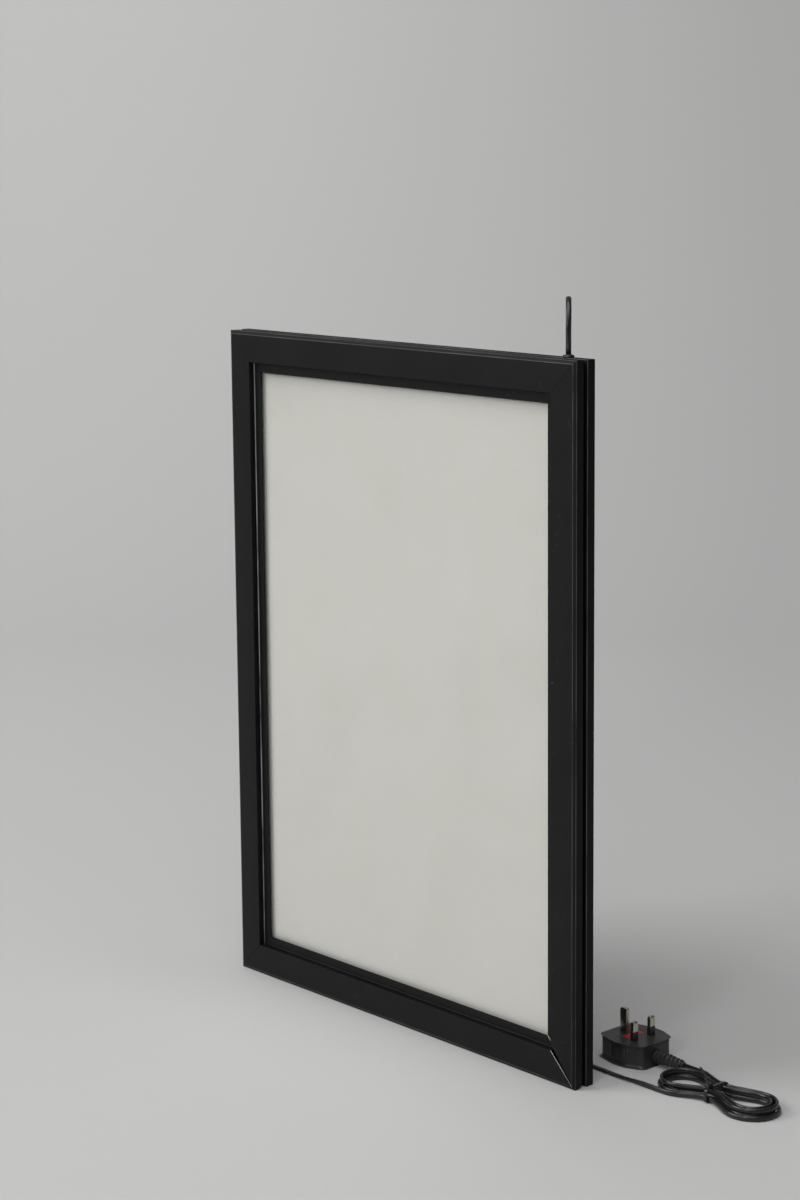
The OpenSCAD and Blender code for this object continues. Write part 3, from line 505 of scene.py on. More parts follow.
@dataclass(frozen=True)
class Finish:
    """A solid finish: its colour with slight mottling, and a fine grain in its gloss and relief."""

    name: str
    colour: str
    roughness: float
    ior: float = 1.5
    metallic: float = 0.0
    # Second colour of the mottling, and the size of a patch in millimetres
    mottle: str = ""
    patch: float = 25.0
    # Size and height of the surface's grain in millimetres
    grain: float = 0.8
    relief: float = 0.01
    # How far the gloss wanders
    spread: float = 0.06
    alpha: float = 1.0
    specular: float = 0.5
    stretch: tuple[float, float, float] = (1.0, 1.0, 1.0)

    def material(self) -> Material:
        """Gives the material, built the first time it is asked for."""
        return bpy.data.materials.get(self.name) or self.build()

    def build(self) -> Material:
        """Builds the material's nodes.

        Returns:
            The material.
        """
        made = bpy.data.materials.new(self.name)
        made.use_nodes = True
        nodes = Nodes(made.node_tree)
        add, link = nodes.add, made.node_tree.links.new
        place = add("ShaderNodeTexCoord", out="Object")
        mapped = add("ShaderNodeMapping", {"Vector": place, "Scale": self.stretch})
        patches = add(NOISE, {"Vector": mapped, "Scale": 1 / (self.patch * MM), "Detail": 3.0})
        grains = add(NOISE, {"Vector": mapped, "Scale": 1 / (self.grain * MM), "Detail": 2.0})
        colour = add(MIX, {
            "Factor": add(RANGE, patches, 0.35, 0.65), 6: linear(self.colour), 7: linear(self.mottle or self.colour),
        }, data_type="RGBA", out=2)
        rough = add(RANGE, patches, 0.3, 0.7, self.roughness - self.spread, self.roughness + self.spread)
        colour, rough = self.details(nodes, mapped, colour, rough)
        bump = add("ShaderNodeBump", {"Height": grains, "Distance": self.relief * MM, "Strength": 1.0})
        shader = made.node_tree.nodes["Principled BSDF"].inputs
        for label, value in (("IOR", self.ior), ("Metallic", self.metallic), ("Alpha", self.alpha),
                             ("Specular IOR Level", self.specular)):
            shader[label].default_value = value
        for label, output in (("Base Color", colour), ("Roughness", rough), ("Normal", bump)):
            link(output, shader[label])
        return made

    def details(self, nodes: Nodes, place: Socket, colour: Socket, rough: Socket) -> tuple[Socket, Socket]:
        """Adds what a finish has beyond mottling, which is nothing here.

        Args:
            nodes: the material's tree.
            place: the object's coordinates, stretched as the finish says.
            colour: the colour so far.
            rough: the roughness so far.
        Returns:
            The colour and the roughness with the details.
        """
        return colour, rough


@dataclass(frozen=True)
class PowderCoat(Finish):
    """Fine-textured powder coat on aluminium: matt, with dust specks, faint rubs and a few hairline scratches."""

    dust: str = "6E6D6A"
    dust_pitch: float = 26.0
    dust_share: float = 0.8
    rub: str = "4A4A4A"
    rub_share: float = 0.12
    scratch_share: float = 0.1

    def details(self, nodes: Nodes, place: Socket, colour: Socket, rough: Socket) -> tuple[Socket, Socket]:
        """Adds dust, rubs and scratches.

        Args:
            nodes: the material's tree.
            place: the object's coordinates, stretched as the finish says.
            colour: the colour so far.
            rough: the roughness so far.
        Returns:
            The colour and the roughness with the details.
        """
        add = nodes.add
        # A speck shows as a dot of about half a millimetre, and only in some cells
        cells = add("ShaderNodeTexVoronoi", {"Vector": place, "Scale": 1 / (self.dust_pitch * MM)}, out="Distance")
        shade = add("ShaderNodeSeparateColor", cells.node.outputs["Color"])
        specks = (add(RANGE, cells, 0.03, 0.012), add(RANGE, shade, 0.5, 0.55))
        # Rubs lie in loose drifts some centimetres across
        drift = add(NOISE, {"Vector": place, "Scale": 1 / (60.0 * MM), "Detail": 2.0})
        fine = add(NOISE, {"Vector": place, "Scale": 1 / (2.2 * MM), "Detail": 4.0})
        rubs = (add(RANGE, drift, 0.56, 0.75), add(RANGE, fine, 0.45, 0.8))
        marks = [
            (add(MATH, *both, operation="MULTIPLY", use_clamp=True), share, over)
            for both, share, over in ((specks, self.dust_share, self.dust), (rubs, self.rub_share, self.rub))
        ]
        # Scratches are thin slices of a noise drawn out fourteen times
        drawn = add("ShaderNodeMapping", {"Vector": place, "Rotation": (0.3, 0.9, 0.5), "Scale": (1, 14, 1)})
        lines = add(NOISE, {"Vector": drawn, "Scale": 1 / (9.0 * MM), "Detail": 1.0})
        marks.append((add(RANGE, lines, 0.735, 0.75), self.scratch_share, self.rub))
        for mark, share, over in marks:
            factor = add(MATH, mark, share, operation="MULTIPLY", use_clamp=True)
            colour = add(MIX, {"Factor": factor, 6: colour, 7: linear(over)}, data_type="RGBA", out=2)
        return colour, rough


@dataclass(frozen=True)
class EdgedCoat(PowderCoat):
    """The same coat on the rails, with painted highlights along the arrises of their section, where the coat is also
    made smoother.
    """

    # Each arris: its depth from the front, its distance inward from the outer plane, its width, and how strong its
    # painted highlight is
    arrises: tuple[tuple[float, float, float, float], ...] = ()
    # The same for painted highlights on the left rail alone
    left_arrises: tuple[tuple[float, float, float, float], ...] = ()
    # Colour of the painted highlights along the arrises
    highlight_colour: str = "9C9DA0"
    # How much smoother the coat is where the painted highlight is strongest, and how soon it gets so
    smoother: float = 0.22
    soon: float = 3.0

    def details(self, nodes: Nodes, place: Socket, colour: Socket, rough: Socket) -> tuple[Socket, Socket]:
        """Adds painted highlights along the arrises to the dust and rubs.

        Args:
            nodes: the material's tree.
            place: the object's coordinates, stretched as the finish says.
            colour: the colour so far.
            rough: the roughness so far.
        Returns:
            The colour and the roughness with the details.
        """
        colour, rough = super().details(nodes, place, colour, rough)
        add = nodes.add
        x, y, z = add(SPLIT, place).node.outputs
        half_w, half_h = OUTER_W / 2 * MM, OUTER_H / 2 * MM
        from_middle = add(MATH, z, half_h, operation="SUBTRACT")
        across, along = (
            add(MATH, half, add(MATH, off, 0.0, operation="ABSOLUTE"), operation="SUBTRACT")
            for half, off in ((half_w, x), (half_h, from_middle))
        )
        inward = add(MATH, across, along, operation="MINIMUM")
        depth = add(MATH, y, FRONT_Y * MM, operation="SUBTRACT")
        from_left = add(MATH, add(MATH, x, half_w, operation="ADD"), inward, operation="MAXIMUM")
        # How strong the painted highlight is at each point, from the nearest arris
        wear_and_highlight: Any = 0.0
        for away_in, marks in ((inward, self.arrises), (from_left, self.left_arrises)):
            here = add(VECTOR, depth, away_in)
            for arris_d, arris_u, width, share in marks:
                arris = (arris_d * MM, arris_u * MM, 0)
                away = add("ShaderNodeVectorMath", here, arris, operation="DISTANCE", out="Value")
                near = add(RANGE, away, width * MM, width * MM * 0.3, interpolation_type="SMOOTHSTEP")
                wear_and_highlight = add(MATH, wear_and_highlight, add(MATH, near, share, operation="MULTIPLY"), operation="MAXIMUM")
        # The painted highlight comes and goes over some centimetres
        uneven = add(NOISE, {"Vector": place, "Scale": 1 / (45.0 * MM), "Detail": 3.0})
        wear_and_highlight = add(MATH, wear_and_highlight, add(RANGE, uneven, 0.2, 0.6), operation="MULTIPLY", use_clamp=True)
        # Painted highlights: the coat is mixed towards a light grey along the arrises
        colour = add(MIX, {"Factor": wear_and_highlight, 6: colour, 7: linear(self.highlight_colour)}, data_type="RGBA", out=2)
        gloss = add(MATH, wear_and_highlight, self.soon, operation="MULTIPLY", use_clamp=True)
        return colour, add(MIX, {"Factor": gloss, "A": rough, "B": self.roughness - self.smoother})


@dataclass(frozen=True)
class OpalSheet(Finish):
    """Extruded opal acrylic, unlit: warm off-white with a clear gloss over it, faint handling marks and painted shade
    towards its covered edges.
    """

    smear: str = "B1AFA6"
    smear_share: float = 0.25
    # Painted shade towards the sheet's covered edges, where the lips shade it: for each edge its axis, its place, how
    # far the painted shade reaches and how strong it is
    edges: tuple[tuple[int, float, float, float], ...] = ()
    painted_edge_shade: str = "787773"

    def details(self, nodes: Nodes, place: Socket, colour: Socket, rough: Socket) -> tuple[Socket, Socket]:
        """Adds faint smears, and the painted shade towards the edges.

        Args:
            nodes: the material's tree.
            place: the object's coordinates, stretched as the finish says.
            colour: the colour so far.
            rough: the roughness so far.
        Returns:
            The colour and the roughness with the details.
        """
        add = nodes.add
        drift = add(NOISE, {"Vector": place, "Scale": 1 / (140.0 * MM), "Detail": 3.0})
        smears = add(RANGE, drift, 0.5, 0.8)
        shares = [(add(MATH, smears, self.smear_share, operation="MULTIPLY", use_clamp=True), self.smear)]
        spot = add(SPLIT, place).node.outputs
        # Painted shade along each covered edge
        for axis, at, reach, share in self.edges:
            near = add(RANGE, spot[axis], (at + reach) * MM, (at - reach) * MM, 0.0, 2.0 * share,
                       interpolation_type="SMOOTHERSTEP")
            shares.append((near, self.painted_edge_shade))
        for share, over in shares:
            colour = add(MIX, {"Factor": share, 6: colour, 7: linear(over)}, data_type="RGBA", out=2)
        return colour, rough


@dataclass(frozen=True)
class SawnCut(Finish):
    """A sawn end in coated aluminium: bare along the front arris, and painted dark with shade further down the cut."""

    # Colour of the painted shade deeper in the cut
    painted_cut_shade: str = "08080A"
    # How deep the bare metal shows before the painted shade, in millimetres: shallow near the outer corner, and deeper
    # from the first to the second distance inward
    bare_outer: float = 0.18
    bare_inner: float = 0.66
    from_u: float = 3.0
    to_u: float = 16.0
    # The lip begins this far inward, and its own front arris lies this deep
    lip_u: float = 30.0
    lip_d: float = 6.4

    def details(self, nodes: Nodes, place: Socket, colour: Socket, rough: Socket) -> tuple[Socket, Socket]:
        """Paints shade on the cut behind its bright arris, on the face and again on the lip.

        Args:
            nodes: the material's tree.
            place: the object's coordinates, stretched as the finish says.
            colour: the colour so far.
            rough: the roughness so far.
        Returns:
            The colour and the roughness with the details.
        """
        add = nodes.add
        _, y, z = add(SPLIT, add("ShaderNodeTexCoord", out="Object")).node.outputs
        reach = add(RANGE, z, self.from_u * MM, self.to_u * MM,
                    self.bare_outer * MM + FRONT_Y * MM, self.bare_inner * MM + FRONT_Y * MM)
        on_lip = add(MATH, z, self.lip_u * MM, operation="GREATER_THAN")
        limit = add(MATH, on_lip, self.lip_d * MM, reach, operation="MULTIPLY_ADD")
        behind = add(MATH, y, limit, operation="GREATER_THAN")
        # Painted shade: behind the limit the cut is coloured near black
        return add(MIX, {"Factor": behind, 6: colour, 7: linear(self.painted_cut_shade)}, data_type="RGBA", out=2), rough


@dataclass(frozen=True)
class PlatedPin(Finish):
    """Nickel-plated brass, drawn and tumbled: fine lines along the pin and a few rubbed spots."""

    wear_and_highlight: str = "8F887A"
    worn_share: float = 0.5

    def details(self, nodes: Nodes, place: Socket, colour: Socket, rough: Socket) -> tuple[Socket, Socket]:
        """Adds rubbed spots.

        Args:
            nodes: the material's tree.
            place: the object's coordinates, stretched as the finish says.
            colour: the colour so far.
            rough: the roughness so far.
        Returns:
            The colour and the roughness with the details.
        """
        add = nodes.add
        spots = add(NOISE, {"Vector": place, "Scale": 1 / (2.5 * MM), "Detail": 3.0})
        factor = add(MATH, add(RANGE, spots, 0.55, 0.7), self.worn_share, operation="MULTIPLY", use_clamp=True)
        return add(MIX, {"Factor": factor, 6: colour, 7: linear(self.wear_and_highlight)}, data_type="RGBA", out=2), rough


# Matt black powder coat over extruded aluminium: nearly even, with a grain of a third of a millimetre
COAT = EdgedCoat(
    "powder_coat_black", "0E0E0F", 0.5, mottle="111112", patch=40, grain=0.35, relief=0.02, spread=0.04, specular=0.17,
    # Painted highlights on the arrises, and a stronger one on the left rail's bead
    arrises=((0.0, 3.0, 0.5, 0.2), (1.8, 0.05, 0.5, 0.24), (5.3, 30.6, 0.5, 0.05)),
    left_arrises=((5.3, 30.6, 1.2, 1.0),),
)
# The same coat on the rear rails, with painted highlights on its arrises where their sides begin and end
REAR_COAT = EdgedCoat(
    "powder_coat_rear", "0D0D0E", 0.54, mottle="101011", patch=40, grain=0.35, relief=0.02, spread=0.04, specular=0.16,
    arrises=((15.0, 0.15, 0.5, 0.3), (23.8, 0.2, 0.4, 0.1)),
)
# Sawn aluminium at the open mitre: bright and torn matt, with saw lines a fifth of a millimetre apart, and painted
# shade deeper in the cut
SAWN = SawnCut(
    "sawn_aluminium", "F4F4F5", 0.85, metallic=1.0, mottle="E6E6E8", patch=3, grain=0.2, relief=0.01, stretch=(1, 1, 6),
)
# Opal acrylic behind the clear cover, warm grey-white while it is off, with painted shade towards its edges
OPAL = OpalSheet(
    "opal_acrylic", "CBCAC4", 0.22, ior=1.49, mottle="C9C8C1", patch=90, grain=30, relief=0.004, spread=0.03,
    edges=((0, -193.9, 12.0, 0.34), (0, 193.9, -6.0, 0.1), (2, 39.1, 13.0, 0.3), (2, 600.9, -20.0, 0.36)),
)
# Clear polyester cover, hard to see but for its gloss
COVER = Finish("clear_cover", "DADAD6", 0.12, ior=1.57, mottle="D2D2CE", patch=60, grain=40, relief=0.004, spread=0.03,
               alpha=0.05)
# Cast acrylic light guide, faintly green at its edges
GUIDE = Finish("cast_acrylic", "DCEAE4", 0.1, ior=1.49, mottle="D4E6DE", patch=40, grain=20, relief=0.01, spread=0.03,
               alpha=0.45)
# White polyester reflector film, soft satin
REFLECTOR = Finish("reflector_film", "F0F0EC", 0.45, ior=1.6, mottle="E9E9E5", patch=30, grain=3, relief=0.01)
# Black polystyrene back sheet with a fine calendered grain
BACK = PowderCoat("back_sheet_black", "1E1E20", 0.55, mottle="242426", patch=60, grain=0.9, relief=0.02, dust_pitch=22)
# Zinc-plated steel: bright grey with a faint mottled bloom
ZINC = Finish("zinc_plated_steel", "A9ACB0", 0.34, metallic=1.0, mottle="8D9094", patch=2, grain=0.3, relief=0.004)
# Blued spring strip: darker, polished along its length
SPRING = Finish("spring_steel", "7E8084", 0.28, metallic=1.0, mottle="64666A", patch=5, grain=0.3, relief=0.004,
                stretch=(0.1, 1, 1))
# Die-cast corner keys: dull grey metal
CAST = Finish("cast_alloy", "9A9B9E", 0.5, metallic=1.0, mottle="85868A", patch=2, grain=0.5, relief=0.02)
# White solder mask on the LED boards
BOARD = Finish("white_solder_mask", "E9E8E2", 0.35, mottle="E0DFD8", patch=4, grain=1.2, relief=0.006)
# Silicone over yellow phosphor
PHOSPHOR = Finish("led_phosphor", "E3C648", 0.25, mottle="D8B93C", patch=0.8, grain=0.4, relief=0.01)
# Red PVC on thin wires
WIRE = Finish("red_wire_pvc", "A3221C", 0.4, mottle="8E1B16", patch=6, grain=0.6, relief=0.006)
# White nylon and polycarbonate mouldings
NYLON = Finish("white_nylon", "DEDDD6", 0.45, mottle="D5D4CC", patch=8, grain=0.4, relief=0.01)
# Dark grey end caps of the driver
CAP = Finish("grey_cap_moulding", "3A3A3C", 0.5, mottle="404042", patch=6, grain=0.35, relief=0.012)
# Green glass-epoxy board
EPOXY = Finish("green_board", "1F5B33", 0.35, mottle="24683B", patch=3, grain=0.8, relief=0.01)
# Grommet of black rubber, moulded smooth
RUBBER = Finish("grommet_rubber", "151516", 0.42, ior=1.52, mottle="1B1B1C", patch=4, grain=0.5, relief=0.01)
# PVC jacket of the lead: black, drawn smooth, with a soft shine
JACKET = Finish("lead_pvc", "131314", 0.3, ior=1.53, mottle="19191A", patch=18, grain=1.5, relief=0.012, spread=0.07)
# Nylon of the cable tie
TIE = Finish("tie_nylon", "121213", 0.33, ior=1.53, mottle="171718", patch=6, grain=0.5, relief=0.006)
# Moulded PVC plug: dark grey, spark-eroded to a fine matt grain
PLUG = PowderCoat("plug_moulding", "262628", 0.42, ior=1.53, mottle="2B2B2D", patch=12, grain=0.3, relief=0.02,
                  dust_pitch=18)
# Insulating sleeves on the pins
SLEEVE = Finish("pin_sleeve", "1C1C1D", 0.35, mottle="222223", patch=3, grain=0.4, relief=0.005)
# Red thermoplastic fuse carrier
FUSE = Finish("fuse_carrier_red", "A8241E", 0.36, mottle="9B1F1A", patch=5, grain=0.4, relief=0.01)
# Plated brass pins
PIN = PlatedPin("plated_pin", "C9C5BA", 0.24, metallic=1.0, mottle="B5AFA0", patch=4, grain=0.25, relief=0.004,
                stretch=(1, 1, 0.15))


def coated(made: Piece, finish: Finish) -> Piece:
    """Gives an object one finish all over.

    Args:
        made: the object.
        finish: its only finish.
    Returns:
        The same object.
    """
    made.data.materials.clear()
    made.data.materials.append(finish.material())
    return made


def dress(finishes: dict[Finish, Sequence[str]]) -> None:
    """Gives carried-over nodes their finish.

    Args:
        finishes: the names of the nodes under each finish.
    """
    for finish, names in finishes.items():
        for name in names:
            coated(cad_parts[name], finish)
            LOG.info("%s is dressed in %s", name, finish.name)


def keep(made: Piece, body: str, slot: str, *nodes: str) -> Piece:
    """Hangs a finished piece on its body and hides the nodes that it stands for.

    Args:
        made: the piece.
        body: the body that it rides on.
        slot: the material slot that it takes its finish from; not used.
        nodes: the nodes that it stands for.
    Returns:
        The piece.
    """
    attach(made, body)
    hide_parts(*nodes)
    LOG.info("%s rides on %s", made.name, body)
    return made


# ---- The box


class Side(Enum):
    """The four sides: name, turn about Y in degrees, place in millimetres, and length."""

    TOP = ("top", 180.0, (0.0, 0.0, OUTER_H), OUTER_W)
    BOTTOM = ("bottom", 0.0, (0.0, 0.0, 0.0), OUTER_W)
    LEFT = ("left", 90.0, (-OUTER_W / 2, 0.0, OUTER_H / 2), OUTER_H)
    RIGHT = ("right", -90.0, (OUTER_W / 2, 0.0, OUTER_H / 2), OUTER_H)


@dataclass
class SnapFrame:
    """The four hinged rails, each a thin folded section drawn out and mitred. Sizes in millimetres."""

    wall: float = 1.4
    face_w: float = 29.3
    bevel_w: float = 3.0
    bevel_d: float = 1.8
    corner_r: float = 0.55
    fold_r: float = 0.3
    lip_w: float = 9.8
    lip_root_d: float = 6.2
    lip_tip_d: float = 6.4
    lip_t: float = 1.1
    lip_r: float = 0.45
    foot_h: float = 1.5
    foot_inset: float = 3.4
    foot_t: float = 1.2
    foot_r: float = 0.2
    bead_r: float = 0.7
    bead_off: float = 1.2
    hinge_d: float = 8.9
    socket_r: float = 2.3
    socket_bore: float = 1.45
    rib_u: float = 8.0
    rib_t: float = 1.2
    rib_end: float = 4.6
    broken_edge: float = 0.06
    relief_d: float = 5.8
    relief_u: float = 4.8
    # Mitre gap at the ends of the rails. One end stands open, more so for each millimetre inward, and less on its lip
    gap: float = 0.12
    open_gap: float = 0.2
    open_spread: float = 0.34
    open_lip: float = 1.9

    def section(self) -> list[Point]:
        """Gives the outline of the folded section.

        Returns:
            Each point as its depth from the front and its distance inward.
        """
        wall, fold = self.wall, self.fold_r
        leg_meet = self.hinge_d - math.sqrt(self.socket_r ** 2 - (self.socket_r - wall) ** 2)
        tip_u = self.face_w + self.lip_w
        outside = rounded([
            (self.hinge_d, 0, 0), (self.bevel_d, 0, self.corner_r * 0.7), (0, self.bevel_w, self.corner_r * 2.5),
            (0, self.face_w, self.corner_r), (self.lip_root_d, self.face_w, 0.25),
            (self.lip_root_d, self.face_w + self.bead_off - 0.6, 0),
        ])[:-1]
        bead_at = (self.lip_root_d - self.bead_r / 2, self.face_w + self.bead_off)
        bead = arc(bead_at, self.bead_r, 300, 60, 10)
        # The lip's back steps out once to make its foot, and then runs back to the face
        lip_back, root_back = self.lip_tip_d + self.lip_t, self.lip_root_d + self.lip_t
        foot_in, foot_out = tip_u - self.foot_inset, tip_u - self.foot_inset + self.foot_t
        lip = rounded([
            (*bead[-1], 0), (self.lip_tip_d, tip_u, self.lip_r), (lip_back, tip_u, self.lip_r),
            (lip_back, foot_out, self.foot_r), (lip_back + self.foot_h, foot_out, self.foot_r),
            (lip_back + self.foot_h, foot_in, self.foot_r), (lip_back, foot_in, self.foot_r),
            (root_back, self.face_w, fold), (root_back, self.face_w - wall, fold), (wall, self.face_w - wall, fold),
            (wall, self.rib_u + self.rib_t, 0), (self.rib_end, self.rib_u + self.rib_t, fold),
            (self.rib_end, self.rib_u, fold), (wall, self.rib_u, 0), (wall, self.bevel_w + wall / 2, 0),
            (self.bevel_d + wall / 2, wall, 0), (leg_meet, wall, 0),
        ], 3)[1:-1]
        # Angles here run from the rearward direction towards the inward one
        ring = (self.hinge_d, self.socket_r)
        meet_angle = math.degrees(math.atan2(wall - self.socket_r, leg_meet - self.hinge_d))
        outer = arc(ring, self.socket_r, meet_angle, -235, 8)
        inner = arc(ring, self.socket_bore, -235, -45, 18)
        return outside + bead + lip + outer + inner + arc(ring, self.socket_r, -45, -90, 4)[:-1]

    def build(self) -> None:
        """Builds the four rails."""
        grow = rail_grower()
        outline = self.section()
        count = len(outline)
        # The way out of the section at each point is square to the line between its neighbours
        ways = [(Vector(outline[(i + 1) % count]) - Vector(outline[i - 1])).normalized() for i in range(count)]
        edges = [(i, (i + 1) % count) for i in range(count)]
        coat, bare = COAT.material(), SAWN.material()
        for side in Side:
            name, turn, place, length = side.value
            made = mesh_from(f"snap_rail_{name}_skin", [(0, d, u) for d, u in outline], [], edges)
            for label, values in (("depth", [d * MM for d, _ in outline]), ("inward", [u * MM for _, u in outline]),
                                  ("out_depth", [-on.y for on in ways]), ("out_inward", [on.x for on in ways])):
                store(made, label, values)
            stands_open = side is Side.RIGHT
            grow.run(made, {
                "Half length": length / 2 * MM, "Broken edge": self.broken_edge * MM,
                "Gap at start": (self.open_gap if stands_open else self.gap) * MM, "Gap at end": self.gap * MM,
                "Spread at start": self.open_spread if stands_open else 0.0, "Spread at end": 0.0,
                "Lip gap at start": (self.open_lip if stands_open else self.gap) * MM, "Lip gap at end": self.gap * MM,
                "Lip from": (self.face_w + self.fold_r) * MM,
                "Relief depth": self.relief_d * MM, "Relief reach": self.relief_u * MM,
                "Turn": (0.0, math.radians(turn), 0.0), "Place": tuple(c * MM for c in place),
                "Coat": coat, "Cut at start": bare if stands_open else coat,
                "Cut at end": bare if side is Side.BOTTOM else coat,
            })
            keep(smooth(point_out(made), 25), f"snap_{name}", "rail_black", f"snap_rail_{name}")


class RearFrame:
    """The fixed rails behind, their keys, screws and springs, and the back sheet."""

    finishes: ClassVar[dict[Finish, list[str]]] = {
        REAR_COAT: [f"base_rail_{side.value[0]}" for side in Side],
        BACK: ["back_panel"], CAST: ["corner_keys"], ZINC: ["corner_key_screws", "back_panel_screws"],
        SPRING: ["leaf_springs"],
    }

    def build(self) -> None:
        """Dresses the carried-over parts."""
        dress(self.finishes)


class LightPanel:
    """The sheets in the window, what lights them, and what feeds it."""

    finishes: ClassVar[dict[Finish, list[str]]] = {
        OPAL: ["diffuser_sheet"], COVER: ["cover_sheet"], GUIDE: ["light_guide_plate"], REFLECTOR: ["reflector_sheet"],
        BOARD: ["led_boards"], PHOSPHOR: ["led_chips"], WIRE: ["led_wires"],
        NYLON: ["driver_case", "terminal_block", "cord_clamp_base", "cord_clamp_saddle"],
        CAP: ["driver_end_caps"], EPOXY: ["driver_board"], ZINC: ["cord_clamp_screws"],
    }

    def build(self) -> None:
        """Dresses the sheets, the LED boards, the driver and its wiring."""
        dress(self.finishes)


# ---- The lead and what is on it


@dataclass(frozen=True)
class Grommet:
    """The grommet that the lead leaves by: a disc with a rolled edge and a collar. Sizes in millimetres."""

    at: Point = (206.0, 7.4)
    radius: float = 5.0
    height: float = 2.5
    bore: float = 2.6
    sides: int = 48

    def build(self) -> None:
        """Builds the grommet, turned about the lead."""
        radius, bore, top = self.radius, self.bore, self.height
        # Each point as its distance from the middle and its height over the rail, from the hole up round the rolled
        # edge to the collar
        outline = [
            (bore, -2.6), (3.3, -2.6), (3.3, 0.08), (radius - 0.35, 0.08), (radius, 0.45), (radius, 1.35),
            (radius - 0.2, 1.8), (radius - 0.6, 2.0), (radius - 1.1, 1.85), (bore + 1.0, 1.75), (bore + 0.7, 2.2),
            (bore + 0.55, top), (bore + 0.15, top), (bore, top - 0.3),
        ]
        x, y = self.at
        points = [(x + a, y + b, OUTER_H + h) for r, h in outline for a, b in circle(r, self.sides)]
        made = mesh_from("grommet_dome", points, between_rings(len(outline), self.sides, True))
        keep(coated(smooth(point_out(made), 40), RUBBER), "root", "rubber_black", "grommet")


